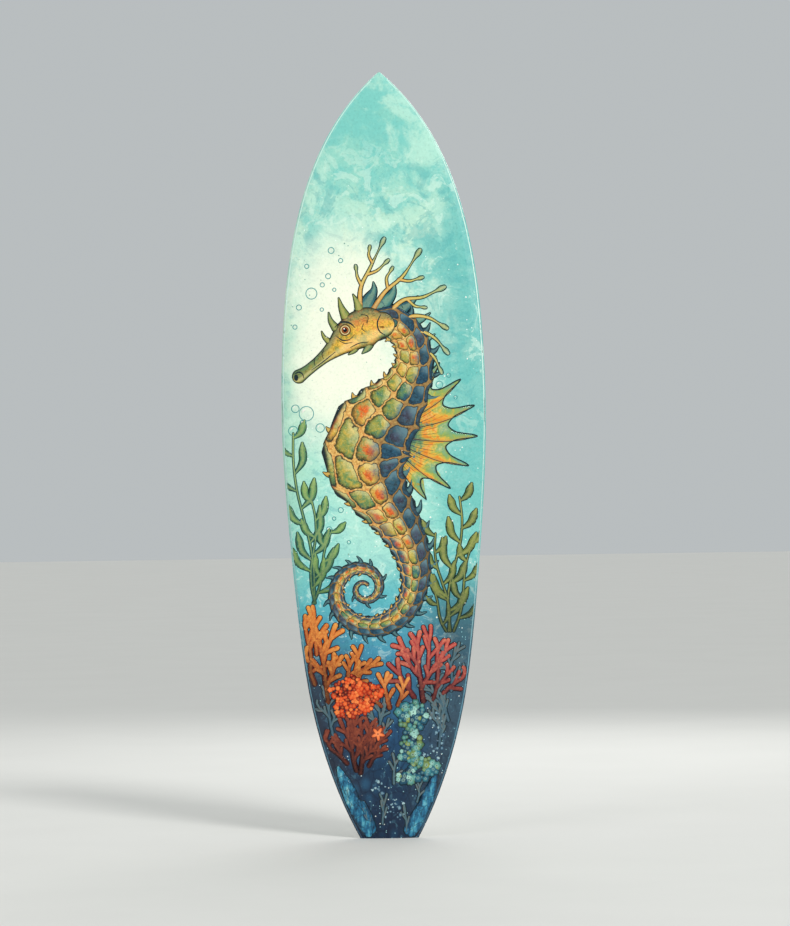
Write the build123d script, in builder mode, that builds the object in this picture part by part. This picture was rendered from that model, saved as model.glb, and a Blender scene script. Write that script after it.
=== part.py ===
"""A shortboard surfboard standing on its tail: a foam blank in two halves glued to a wooden stringer,
skinned in glass cloth with a printed cloth under the deck glass, and carrying three removable fins
in six plugs with clamping screws, and a leash cup with its steel bar.

Frame: +Z runs up the board from tail to nose, +X to the right, the deck faces -Y and the bottom and
the fins face +Y. The origin is the middle of the tail tip. All sizes are in millimetres.
"""

from build123d import *
import os
from math import cos, radians, sin

os.makedirs("parts", exist_ok=True)

# Board: overall size
length = 1880.0
width = 482.6
thickness = 62.0

# Outline: half widths against distance from the tail
wide_point_z = 1075.0
hip_z = 461.0
hip_half_width = 191.0
hip_flare = 0.15
tail_half_width = 6.0
tail_roundness = 18.0
nose_half_width = 3.0
nose_fullness = Vector(199.0, 1716.0)
# How far the outline's curves run on straight from the hip and from the wide point
hip_reach_down = 286.0
hip_reach_up = 151.0
wide_reach_down = 141.0
wide_reach_up = 357.0

# Rocker: how far the tips rise off a flat floor, and where the bottom is flattest
tail_rocker = 60.0
nose_rocker = 127.0
flat_point_z = 900.0
tail_rocker_power = 2.2
nose_rocker_power = 2.0

# Foil: how the thickness runs out to the tips
thick_point_z = 960.0
tail_thickness = 14.0
nose_thickness = 8.0
tail_foil_power = 2.4
nose_foil_power = 2.0

# Cross section, as shares of the half width and of the thickness
apex_share = 0.40
flat_share = 0.84
deck_fullness = 0.62
tuck_fullness = 0.60

# Layers, counted inward from the outside
deck_glass_thickness = 0.65
print_thickness = 0.25
skin_thickness = deck_glass_thickness + print_thickness
stringer_thickness = 4.0
lap_above_apex = 1.5
# Where along the board the lap line's height is set; it runs on past both tips
lap_shares = (-0.02, 0.05, 0.12, 0.2, 0.3, 0.4, 0.5, 0.6, 0.7, 0.8, 0.9, 1.0, 1.04)
well_above_deck = -400.0

# Fins
fin_base = 111.0
fin_height = 115.0
fin_thickness = 6.2
fin_gap = 0.5
fin_front_bow = (26.0, 62.0)
fin_front_shoulder = (-22.0, 106.0)
fin_back_hollow = (-49.0, 38.0)
fin_back_shoulder = (-74.0, 82.0)
fin_tip_x = -86.0
fin_tip_length = 12.0
fin_tip_drop = 3.0
# Shares of the fin's height at which its section is drawn; the last cuts the tip square
fin_levels = (0, 0.18, 0.36, 0.54, 0.7, 0.83, 0.92, 0.97)
# Foil: how much the fin thins towards its tip, and how full its curved face is
tip_thinning = 0.72
thinning_power = 1.4
trailing_thickness = 0.7
crown_place = 0.4
crown_back = 0.75
crown_front = 0.95
crown_share = 0.645
side_fin_x = 122.0
side_fin_z = 335.0
side_fin_cant = 6.0
side_fin_toe = 3.2
centre_fin_z = 145.0
fin_travel_clearance = 0.3

# Fin tabs, plugs and screws
tab_spacing = 54.0
tab_length = 22.5
tab_depth = 14.0
tab_flat_width = 7.0
tab_flat_reach = 1.0
tab_flat_top = 2.0
plug_length = 34.0
plug_width = 24.0
plug_depth = 17.0
slot_depth = 15.0
screw_radius = 2.5
screw_clearance = 0.05
screw_length = 7.5
screw_sink = 1.5
screw_tilt = 25.0
screw_offset = 7.6
screw_chamfer = 0.4
hole_below_screw = 1.0
hex_across_flats = 2.4
hex_depth = 3.0

# Leash cup
cup_x = 17.5
cup_z = 64.0
cup_radius = 13.5
cup_depth = 15.5
bowl_radius = 9.5
bowl_depth = 13.0
bar_radius = 1.5
bar_sink = 4.5
bar_length = 23.0

beyond = 40.0


def rise(z):
    """How far the bottom at height z has curved away from its flattest stretch."""
    if z < flat_point_z:
        return tail_rocker * ((flat_point_z - z) / flat_point_z) ** tail_rocker_power
    return nose_rocker * ((z - flat_point_z) / (length - flat_point_z)) ** nose_rocker_power


def thickness_at(z):
    """Thickness on the centre line at height z."""
    if z < thick_point_z:
        thinning = ((thick_point_z - z) / thick_point_z) ** tail_foil_power
        return thickness - (thickness - tail_thickness) * thinning
    thinning = ((z - thick_point_z) / (length - thick_point_z)) ** nose_foil_power
    return thickness - (thickness - nose_thickness) * thinning


def bottom_y(z):
    """Y of the bottom on the centre line at height z; the tail tip is centred on Y = 0."""
    return tail_rocker + tail_thickness / 2 - rise(z)


def apex_y(z):
    """Y of the widest line of the rail at height z."""
    return bottom_y(z) - apex_share * thickness_at(z)


def slope(height_at, z):
    """Rise of a lengthwise curve per millimetre of height."""
    step = 1.0
    return (height_at(z + step) - height_at(z - step)) / (2 * step)


# Half outline, drawn in X and Z from the tail tip to the nose tip
hip = Vector(hip_half_width, hip_z)
hip_run = Vector(hip_flare, 1).normalized()
tail_tip = Vector(tail_half_width, 0)
nose_tip = Vector(nose_half_width, length)
wide_point = Vector(width / 2, wide_point_z)
below_wide_point = wide_point - Vector(0, wide_reach_down)
above_wide_point = wide_point + Vector(0, wide_reach_up)

with BuildLine():
    tail_curve = Bezier(tail_tip, tail_tip + Vector(tail_roundness, 0), hip - hip_reach_down * hip_run, hip)
    waist_curve = Bezier(hip, hip + hip_reach_up * hip_run, below_wide_point, wide_point)
    nose_curve = Bezier(wide_point, above_wide_point, nose_fullness, nose_tip)

# Cross sections are drawn at these shares of each curve, closer together where the shape turns faster
stations = [(tail_curve, u) for u in (0, 0.1, 0.2, 0.32, 0.45, 0.6, 0.75, 0.9)]
stations += [(waist_curve, u) for u in (0, 0.3, 0.62)]
stations += [(nose_curve, u) for u in (0, 0.15, 0.3, 0.45, 0.6, 0.72, 0.82, 0.9, 0.96, 1)]


def hull_solid(inset):
    """The board's whole shape, its surface moved inward by inset."""
    with BuildPart() as hull:
        for curve, u in stations:
            run = curve % u
            half_width = (curve @ u).X - inset * run.Y
            z = (curve @ u).Y + inset * run.X
            bottom = bottom_y(z) - inset
            deck = bottom_y(z) - thickness_at(z) + inset
            apex = apex_y(z)
            flat = flat_share * half_width
            tuck = tuck_fullness * (half_width - flat)
            deck_reach = deck_fullness * half_width
            deck_rise = deck_fullness * (apex - deck)
            tuck_rise = tuck_fullness * (bottom - apex)
            # The section's corners, from the stringer round the right rail and back by the left one
            deck_middle = (0, deck)
            right_apex = (half_width, apex)
            right_edge = (flat, bottom)
            left_edge = (-flat, bottom)
            left_apex = (-half_width, apex)
            with BuildSketch(Plane.XY.offset(z)):
                with BuildLine():
                    Bezier(deck_middle, (deck_reach, deck), (half_width, apex - deck_rise), right_apex)
                    Bezier(right_apex, (half_width, apex + tuck_rise), (flat + tuck, bottom), right_edge)
                    Line(right_edge, left_edge)
                    Bezier(left_edge, (-flat - tuck, bottom), (-half_width, apex + tuck_rise), left_apex)
                    Bezier(left_apex, (-half_width, apex - deck_rise), (-deck_reach, deck), deck_middle)
                make_face()
        loft()
    return hull.part


outside = hull_solid(0)
under_deck_glass = hull_solid(deck_glass_thickness)
core = hull_solid(skin_thickness)

# The lap line, just above the rail apex, parts the deck side from the bottom side
lap_points = [(apex_y(max(share, 0) * length) - lap_above_apex, share * length) for share in lap_shares]
with BuildPart() as deck_side:
    with BuildSketch(Plane.YZ):
        with BuildLine():
            lap_line = Spline(lap_points)
            low_corner = (well_above_deck, lap_shares[0] * length)
            high_corner = (well_above_deck, lap_shares[-1] * length)
            Polyline(lap_line @ 0, low_corner, high_corner, lap_line @ 1)
        make_face()
    extrude(amount=width, both=True)


def fin_plane(x, z, side):
    """Where a fin stands on the bottom: X runs along its base towards the nose, Z stands out of the board.
    side is -1 for the left fin, 1 for the right one and 0 for the centre one."""
    lean = slope(bottom_y, z)
    outward = Vector(0, 1, -lean).normalized()
    forward = Vector(0, lean, 1).normalized()
    across = Vector(1, 0, 0)
    toe = radians(side_fin_toe) * side
    cant = radians(side_fin_cant) * side
    chord = forward * cos(toe) - across * sin(toe)
    sideways = across * cos(toe) + forward * sin(toe)
    normal = outward * cos(cant) + sideways * sin(cant)
    return Plane(origin=(x, bottom_y(z), z), x_dir=chord, z_dir=normal)


fin_places = {
    "left": fin_plane(-side_fin_x, side_fin_z, -1),
    "right": fin_plane(side_fin_x, side_fin_z, 1),
    "centre": fin_plane(0, centre_fin_z, 0),
}
# The across direction of each fin plane that points at the stringer, where the screws are
screw_sides = {}
for name, place in fin_places.items():
    screw_sides[name] = -1 if place.y_dir.X * place.origin.X > 0 else 1


def plug_place(fin_name, end):
    """The plane of one plug: the fin's own plane, moved along its base."""
    place = fin_places[fin_name]
    return place.shift_origin(place.origin + place.x_dir * end * tab_spacing / 2)


plug_ends = {"rear": -1, "front": 1}
plug_places = {}
for fin_name in fin_places:
    for end_name, end in plug_ends.items():
        plug_places[fin_name + "_" + end_name] = plug_place(fin_name, end)


def screw_plane(place, side):
    """The plane at the mouth of a screw hole: its Z points out of the hole, away from the tab."""
    tilt = radians(screw_tilt)
    out = place.z_dir * cos(tilt) + place.y_dir * side * sin(tilt)
    mouth = place.origin + place.y_dir * side * screw_offset
    return Plane(origin=mouth, x_dir=place.x_dir, z_dir=out)


# Fin plugs
pockets = []
for plug_name, place in plug_places.items():
    side = screw_sides[plug_name.split("_")[0]]
    screw_at = screw_plane(place, side)

    with BuildPart() as pocket:
        with BuildSketch(place.offset(-plug_depth)):
            SlotOverall(plug_length, plug_width)
        extrude(amount=plug_depth + beyond)
    pockets.append(pocket.part)

    with BuildPart() as fin_plug:
        add(pocket.part)
        with BuildSketch(place.offset(-slot_depth)):
            Rectangle(tab_length + 2 * fin_travel_clearance, fin_thickness + 2 * fin_travel_clearance)
        extrude(amount=slot_depth + beyond, mode=Mode.SUBTRACT)
        with BuildSketch(screw_at.offset(-screw_sink - screw_length - hole_below_screw)):
            Circle(screw_radius + screw_clearance)
        extrude(amount=screw_sink + screw_length + beyond, mode=Mode.SUBTRACT)
        add(outside, mode=Mode.INTERSECT)
    fin_plug.part.label = "fin_plug_" + plug_name
    export_step(fin_plug.part, "parts/fin_plug_" + plug_name + ".step")

    with BuildPart() as grub_screw:
        with BuildSketch(screw_at.offset(-screw_sink - screw_length)):
            Circle(screw_radius)
        extrude(amount=screw_length)
        chamfer(grub_screw.edges().filter_by(GeomType.CIRCLE), screw_chamfer)
        with BuildSketch(screw_at.offset(-screw_sink)):
            RegularPolygon(hex_across_flats / 2, 6, major_radius=False)
        extrude(amount=-hex_depth, mode=Mode.SUBTRACT)
    grub_screw.part.label = "grub_screw_" + plug_name
    export_step(grub_screw.part, "parts/grub_screw_" + plug_name + ".step")

# Fin outline in its own plane: lengthwise position against height
fin_tip_front = (fin_tip_x, fin_height)
fin_tip_back = (fin_tip_x - fin_tip_length, fin_height - fin_tip_drop)
with BuildLine():
    leading_edge = Bezier((fin_base / 2, 0), fin_front_bow, fin_front_shoulder, fin_tip_front)
    trailing_edge = Bezier((-fin_base / 2, 0), fin_back_hollow, fin_back_shoulder, fin_tip_back)


def edge_at(edge, height):
    """Lengthwise position of a fin edge at a height, by halving the span that holds it."""
    low, high = 0.0, 1.0
    for _ in range(40):
        middle = (low + high) / 2
        if (edge @ middle).Y < height:
            low = middle
        else:
            high = middle
    return (edge @ low).X


def foil_thickness(share):
    """Thickness of the fin at a share of its height."""
    return fin_thickness * (1 - tip_thinning * share ** thinning_power)


# Fins
for fin_name, place in fin_places.items():
    screw_side = screw_sides[fin_name]
    symmetric = fin_name == "centre"
    with BuildPart() as fin:
        for share in fin_levels:
            level = share * fin_height
            front = edge_at(leading_edge, level)
            back = edge_at(trailing_edge, level)
            chord = front - back
            thick = foil_thickness(share)
            crown = (thick / 2 if symmetric else thick) / crown_share
            inner = 0 if symmetric else fin_thickness / 2
            with BuildSketch(place.offset(fin_gap + level)):
                with BuildLine():
                    # The curved face looks away from the stringer on the side fins
                    out = -screw_side
                    base = -inner * out
                    tail_edge = trailing_thickness / 2 if symmetric else trailing_thickness
                    Bezier(
                        (back, base + out * tail_edge),
                        (back + crown_place * chord, base + out * crown_back * crown),
                        (front, base + out * crown_front * crown),
                        (front, base),
                    )
                    if symmetric:
                        Bezier(
                            (front, base),
                            (front, -out * crown_front * crown),
                            (back + crown_place * chord, -out * crown_back * crown),
                            (back, -out * tail_edge),
                        )
                        Line((back, -out * tail_edge), (back, out * tail_edge))
                    else:
                        Line((front, base), (back, base))
                        Line((back, base), (back, base + out * tail_edge))
                make_face()
        loft()
        with BuildSketch(place.offset(-tab_depth)):
            with Locations((-tab_spacing / 2, 0), (tab_spacing / 2, 0)):
                Rectangle(tab_length, fin_thickness)
        extrude(amount=tab_depth + fin_gap)
        # The flat in each tab that its screw presses on
        flat_depth = fin_thickness / 2 - tab_flat_reach
        flat_y = screw_side * (tab_flat_reach + flat_depth / 2)
        with BuildSketch(place.offset(-tab_depth)):
            with Locations((-tab_spacing / 2, flat_y), (tab_spacing / 2, flat_y)):
                Rectangle(tab_flat_width, flat_depth)
        extrude(amount=tab_depth - tab_flat_top, mode=Mode.SUBTRACT)
    fin.part.label = "fin_" + fin_name
    export_step(fin.part, "parts/fin_" + fin_name + ".step")

# Leash cup and bar, set in the deck beside the stringer
deck_slope = slope(lambda z: bottom_y(z) - thickness_at(z), cup_z)
cup_place = Plane(
    origin=(cup_x, bottom_y(cup_z) - thickness_at(cup_z), cup_z),
    x_dir=(1, 0, 0),
    z_dir=Vector(0, -1, deck_slope),
)
with BuildPart() as cup_pocket:
    with BuildSketch(cup_place.offset(-cup_depth)):
        Circle(cup_radius)
    extrude(amount=cup_depth + beyond)

bar_middle = cup_place.origin - cup_place.z_dir * bar_sink
with BuildPart() as leash_bar:
    with BuildSketch(Plane(bar_middle, x_dir=(0, 1, 0), z_dir=(1, 0, 0))):
        Circle(bar_radius)
    extrude(amount=bar_length / 2, both=True)
leash_bar.part.label = "leash_bar"
export_step(leash_bar.part, "parts/leash_bar.step")

with BuildPart() as leash_cup:
    add(cup_pocket.part)
    with BuildSketch(cup_place.offset(-bowl_depth)):
        Circle(bowl_radius)
    extrude(amount=bowl_depth + beyond, mode=Mode.SUBTRACT)
    add(outside, mode=Mode.INTERSECT)
    add(leash_bar.part, mode=Mode.SUBTRACT)
leash_cup.part.label = "leash_cup"
export_step(leash_cup.part, "parts/leash_cup.step")
pockets.append(cup_pocket.part)

# The blank: the core cut lengthwise into foam, stringer and foam
with BuildPart() as stringer:
    with BuildSketch(Plane.YZ):
        with Locations((0, length / 2)):
            Rectangle(4 * thickness, length + 2 * beyond)
    extrude(amount=stringer_thickness / 2, both=True)
    add(core, mode=Mode.INTERSECT)
    add(pockets, mode=Mode.SUBTRACT)
stringer.part.label = "stringer"
export_step(stringer.part, "parts/stringer.step")

for side_name, side in (("left", -1), ("right", 1)):
    cut = Plane(origin=(side * stringer_thickness / 2, 0, 0), x_dir=(0, 1, 0), z_dir=(side, 0, 0))
    with BuildPart() as foam:
        add(core)
        split(bisect_by=cut, keep=Keep.TOP)
        add(pockets, mode=Mode.SUBTRACT)
    foam.part.label = "foam_blank_" + side_name
    export_step(foam.part, "parts/foam_blank_" + side_name + ".step")

# Skins: the printed cloth and the deck glass lie on the deck side, and the bottom glass wraps up to them
with BuildPart() as deck_print:
    add(under_deck_glass)
    add(core, mode=Mode.SUBTRACT)
    add(deck_side.part, mode=Mode.INTERSECT)
    add(pockets, mode=Mode.SUBTRACT)
deck_print.part.label = "deck_print"
export_step(deck_print.part, "parts/deck_print.step")

with BuildPart() as deck_glass:
    add(outside)
    add(under_deck_glass, mode=Mode.SUBTRACT)
    add(deck_side.part, mode=Mode.INTERSECT)
    add(pockets, mode=Mode.SUBTRACT)
deck_glass.part.label = "deck_glass"
export_step(deck_glass.part, "parts/deck_glass.step")

with BuildPart() as bottom_glass:
    add(outside)
    add(core, mode=Mode.SUBTRACT)
    add(deck_side.part, mode=Mode.SUBTRACT)
    add(pockets, mode=Mode.SUBTRACT)
bottom_glass.part.label = "bottom_glass"
export_step(bottom_glass.part, "parts/bottom_glass.step")
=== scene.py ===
# %% [markdown]
# # A painted shortboard, planted in the sand
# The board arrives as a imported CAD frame: foam, stringer, glass skins, fins and hardware. This lesson
# gives every part its finish, and paints an underwater mural on the deck. The mural is made the way a
# sign writer works, as strokes of paint laid on the glass and sealed under one coat of clear resin.

# %% Load the frame
import math

import bmesh
import bpy
import numpy as np
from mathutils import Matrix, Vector


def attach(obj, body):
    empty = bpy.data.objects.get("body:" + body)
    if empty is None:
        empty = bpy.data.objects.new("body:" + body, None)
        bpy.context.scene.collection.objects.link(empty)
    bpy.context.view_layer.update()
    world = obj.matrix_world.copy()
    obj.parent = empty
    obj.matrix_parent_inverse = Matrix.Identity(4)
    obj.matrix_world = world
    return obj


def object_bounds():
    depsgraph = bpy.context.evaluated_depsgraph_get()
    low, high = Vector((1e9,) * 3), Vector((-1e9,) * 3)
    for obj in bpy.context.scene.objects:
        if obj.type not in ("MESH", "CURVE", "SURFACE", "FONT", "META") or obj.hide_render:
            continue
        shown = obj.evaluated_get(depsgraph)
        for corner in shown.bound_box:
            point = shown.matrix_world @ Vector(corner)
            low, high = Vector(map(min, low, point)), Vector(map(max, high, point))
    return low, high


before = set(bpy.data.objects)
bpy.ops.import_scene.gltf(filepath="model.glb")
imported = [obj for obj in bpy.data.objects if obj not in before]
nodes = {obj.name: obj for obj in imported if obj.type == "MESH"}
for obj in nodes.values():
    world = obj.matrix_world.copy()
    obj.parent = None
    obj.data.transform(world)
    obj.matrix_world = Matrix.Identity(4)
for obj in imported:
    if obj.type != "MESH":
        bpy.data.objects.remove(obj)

MM = 0.001
GLOSS = 0.55
PAINT_ROUGHNESS = 0.38
cad_low, cad_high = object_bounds()
scene = bpy.context.scene
rng = np.random.default_rng(7)
print("size", [round(v, 3) for v in cad_high - cad_low])

# %% [markdown]
# ## Shader maths as plain sums
# A material is a web of nodes, which is slow to read as links. This small class wraps one output of a
# node, so that a sum or product of two wires adds the Math node by itself. Everything that isn't a sum
# comes from one method, which takes the node's type, its settings and the values of its sockets.


# %% Colours
def colour(text):
    """A hex colour such as "2f6f8a" as the linear red, green and blue that shaders use."""
    share = np.array([int(text[i : i + 2], 16) for i in (0, 2, 4)]) / 255
    linear = np.where(share <= 0.04045, share / 12.92, ((share + 0.055) / 1.055) ** 2.4)
    return (*linear.tolist(), 1.0)


# %% Wires
class Wire:
    """One output socket. Arithmetic on wires and numbers adds Math nodes."""

    def __init__(self, kit, socket):
        self.kit = kit
        self.socket = socket

    def _do(self, operation, *values, clamp=False):
        settings = {"operation": operation, "use_clamp": clamp}
        return self.kit.node("ShaderNodeMath", settings, dict(enumerate(values)))

    def __add__(self, other):
        return self._do("ADD", self, other)

    __radd__ = __add__

    def __sub__(self, other):
        return self._do("SUBTRACT", self, other)

    def __rsub__(self, other):
        return self._do("SUBTRACT", other, self)

    def __mul__(self, other):
        return self._do("MULTIPLY", self, other)

    __rmul__ = __mul__

    def __truediv__(self, other):
        return self._do("DIVIDE", self, other)

    def __pow__(self, other):
        return self._do("POWER", self, other)

    def __abs__(self):
        return self._do("ABSOLUTE", self)

    def fraction(self):
        return self._do("FRACT", self)

    def floor(self):
        return self._do("FLOOR", self)

    def sine(self):
        return self._do("SINE", self)

    def clamp(self):
        return self._do("ADD", self, 0.0, clamp=True)

    def step(self, low, high):
        """0 below low and 1 above high, with a smooth rise between; low above high turns it over."""
        values = {"Value": self, "From Min": low, "From Max": high, "To Min": 0.0, "To Max": 1.0}
        return self.kit.node("ShaderNodeMapRange", {"interpolation_type": "SMOOTHSTEP"}, values)


# %% Nodes
def set_stops(ramp, stops):
    """Gives a colour ramp its stops, each of them a position and a hex colour."""
    for position, text in stops[1:-1]:
        ramp.elements.new(position).color = colour(text)
    for end in (0, -1):
        position, text = stops[end]
        ramp.elements[end].position = position
        ramp.elements[end].color = colour(text)


class Kit:
    """The node tree of one material."""

    def __init__(self, name):
        self.material = bpy.data.materials.new(name)
        self.material.use_nodes = True
        self.tree = self.material.node_tree
        self.shader = self.tree.nodes["Principled BSDF"]
        self._place = None

    def node(self, kind, settings=None, values=None, out=0):
        """Adds a node. Its settings come first, then each named or numbered socket's value or wire."""
        made = self.tree.nodes.new(kind)
        for key, value in (settings or {}).items():
            if key == "stops":
                set_stops(made.color_ramp, value)
            else:
                setattr(made, key, value)
        for key, value in (values or {}).items():
            if isinstance(value, Wire):
                self.tree.links.new(value.socket, made.inputs[key])
            else:
                made.inputs[key].default_value = value
        return Wire(self, made.outputs[out])

    def place(self):
        """Where a point is on the object, in metres."""
        if self._place is None:
            self._place = self.node("ShaderNodeTexCoord", out=3)
        return self._place

    def axis(self, index):
        """One coordinate of the place: 0 for x, 1 for y and 2 for z."""
        return self.node("ShaderNodeSeparateXYZ", None, {0: self.place()}, out=index)

    def shifted(self, move=(0, 0, 0), scale=(1, 1, 1)):
        """The place moved and stretched, so that two patterns differ or one is long and narrow."""
        return self.node("ShaderNodeMapping", None, {0: self.place(), 1: move, 3: scale})

    def noise(self, scale, detail=4.0, rough=0.55, bend=0.0, at=None):
        values = {"Vector": at or self.place(), "Scale": scale, "Detail": detail}
        values |= {"Roughness": rough, "Distortion": bend}
        return self.node("ShaderNodeTexNoise", None, values)

    def cells(self, scale, feature="F1", out=0, at=None):
        values = {"Vector": at or self.place(), "Scale": scale}
        return self.node("ShaderNodeTexVoronoi", {"feature": feature}, values, out=out)

    def pick(self, first, second):
        """A random number for each pair of whole numbers."""
        pair = self.node("ShaderNodeCombineXYZ", None, {0: first, 1: second})
        return self.node("ShaderNodeTexWhiteNoise", {"noise_dimensions": "2D"}, {"Vector": pair})

    def painted(self, name):
        """A number stored on the piece's own points."""
        return self.node("ShaderNodeAttribute", {"attribute_name": name}, out=2)

    def ramp(self, value, stops):
        return self.node("ShaderNodeValToRGB", {"stops": stops}, {0: value})

    def mix(self, share, first, second, blend="MIX"):
        """Colours by share: first at 0 and second at 1. A text is a hex colour."""
        first, second = [colour(c) if isinstance(c, str) else c for c in (first, second)]
        settings = {"data_type": "RGBA", "blend_type": blend}
        return self.node("ShaderNodeMix", settings, {0: share, 6: first, 7: second}, out=2)

    def bump(self, height, strength, distance):
        values = {"Height": height, "Strength": strength, "Distance": distance}
        return self.node("ShaderNodeBump", None, values)

    def finish(self, base, roughness=0.4, coat=0.0, metallic=0.0, normal=None):
        """Wires the colour and surface into the shader and gives the material."""
        wired = {"Base Color": base, "Roughness": roughness, "Metallic": metallic, "Normal": normal}
        for key, value in wired.items():
            if isinstance(value, Wire):
                self.tree.links.new(value.socket, self.shader.inputs[key])
            elif value is not None:
                self.shader.inputs[key].default_value = value
        self.shader.inputs["Coat Weight"].default_value = coat
        # Paint under clear resin has no gloss of its own
        self.shader.inputs["Specular IOR Level"].default_value = 0.0 if coat == GLOSS else 0.5
        self.shader.inputs["Coat Roughness"].default_value = 0.04
        return self.material

    def sealed(self, paint, blot, normal=None):
        """Paint under the clear resin, a little rougher where blot is high."""
        return self.finish(paint, roughness=PAINT_ROUGHNESS + blot * 0.05, coat=GLOSS, normal=normal)


# %% Materials for the CAD nodes
def dress(material, *names):
    """Gives CAD nodes a material."""
    for name in names:
        nodes[name].data.materials.clear()
        nodes[name].data.materials.append(material)
    print(material.name, "on", *names)


# %% [markdown]
# ## The board's outline and its deck surface
# Paint has to lie on the deck exactly, and the deck curves in every direction. The outline repeats the
# three curves that the board was drawn with. For the height, a fine grid of points is dropped onto the
# deck with a Shrinkwrap modifier and read back as one array, so any stroke can look up its place in it.


# %% Outline
board_length = cad_high.z
board_half = cad_high.x
sand_level = 0.085
print("board", round(board_length, 3), "long and", round(2 * board_half, 4), "wide")


def bezier(points, t):
    """A cubic curve: each control point weighted by the usual powers of t and 1 - t."""
    p = np.array(points, float)[:, None, :]
    t = t[:, None]
    return (1 - t) ** 3 * p[0] + 3 * (1 - t) ** 2 * t * p[1] + 3 * (1 - t) * t**2 * p[2] + t**3 * p[3]


tail_tip = (0.006, 0)
hip = np.array([0.191, 0.461])
hip_run = np.array([0.15, 1.0]) / np.hypot(0.15, 1.0)
wide_point = np.array([0.2413, 1.075])
nose_tip = (0.003, board_length)
t = np.linspace(0, 1, 200)
outline = np.vstack([
    bezier([tail_tip, (0.024, 0), hip - 0.286 * hip_run, hip], t),
    bezier([hip, hip + 0.151 * hip_run, wide_point - (0, 0.141), wide_point], t),
    bezier([wide_point, wide_point + (0, 0.357), (0.199, 1.716), nose_tip], t),
])


def half_width(z):
    """Half the board's width at height z, read off the outline."""
    return np.interp(z, outline[:, 1], outline[:, 0])


# %% Meshes from arrays
def mesh_piece(name, points, faces, numbers=None):
    """A mesh from arrays of points and faces, smooth shaded, with named numbers stored on its points."""
    mesh = bpy.data.meshes.new(name)
    mesh.from_pydata(points.tolist(), [], faces)
    mesh.update()
    made = bmesh.new()
    made.from_mesh(mesh)
    bmesh.ops.recalc_face_normals(made, faces=made.faces)
    made.to_mesh(mesh)
    made.free()
    for key, values in (numbers or {}).items():
        stored = mesh.attributes.new(key, "FLOAT", "POINT")
        stored.data.foreach_set("value", np.asarray(values, np.float32))
    mesh.polygons.foreach_set("use_smooth", np.full(len(mesh.polygons), True))
    piece = bpy.data.objects.new(name, mesh)
    scene.collection.objects.link(piece)
    return piece


def end_faces(rows, columns):
    """The two faces that close a grid at its first and its last row."""
    return [list(range(columns)), list(range(rows * columns - 1, (rows - 1) * columns - 1, -1))]


def sheet_faces(rows, columns):
    """Quads of a grid of rows by columns points, as an array of four corner numbers each."""
    first = (np.arange(rows - 1)[:, None] * columns + np.arange(columns - 1)).ravel()
    return np.stack([first, first + columns, first + columns + 1, first + 1], axis=1)


# %% Deck height
# The probe starts as a flat sheet in front of the deck
PROBE_Y = -0.3
grid_x = np.linspace(-board_half, board_half, 161)
grid_z = np.linspace(0, board_length, 561)
probe_points = np.stack(np.meshgrid(grid_x, grid_z), axis=-1).reshape(-1, 2)
probe_points = np.insert(probe_points, 1, PROBE_Y, axis=1)
probe = mesh_piece("probe", probe_points, sheet_faces(len(grid_z), len(grid_x)).tolist())
wrap = probe.modifiers.new("drop", "SHRINKWRAP")
wrap.target = nodes["deck_glass"]
wrap.wrap_method = "PROJECT"
wrap.use_project_y = True
dropped = probe.evaluated_get(bpy.context.evaluated_depsgraph_get()).to_mesh()
found = np.zeros(len(dropped.vertices) * 3)
dropped.vertices.foreach_get("co", found)
bpy.data.objects.remove(probe)
found_y = found.reshape(len(grid_z), len(grid_x), 3)[:, :, 1]
missed = found_y < PROBE_Y + 0.1
# A point beside the board takes the height of the nearest one that did land, row by row
height_map = np.where(missed, np.nan, found_y)
for row in height_map:
    landed = ~np.isnan(row)
    if landed.any():
        row[:] = np.interp(grid_x, grid_x[landed], row[landed])
height_map = np.nan_to_num(height_map)


def deck_y(x, z):
    """Height of the deck at x and z, blended from the four nearest grid points."""
    i = np.clip((x - grid_x[0]) / (grid_x[1] - grid_x[0]), 0, len(grid_x) - 1.001)
    j = np.clip((z - grid_z[0]) / (grid_z[1] - grid_z[0]), 0, len(grid_z) - 1.001)
    a, b = i.astype(int), j.astype(int)
    p, q = i - a, j - b
    low = height_map[b, a] * (1 - p) + height_map[b, a + 1] * p
    high = height_map[b + 1, a] * (1 - p) + height_map[b + 1, a + 1] * p
    return low * (1 - q) + high * q


print("deck y from", round(float(height_map.min()), 4), "to", round(float(height_map.max()), 4))
print("points beside the board", int(missed.sum()), "of", missed.size)
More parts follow.
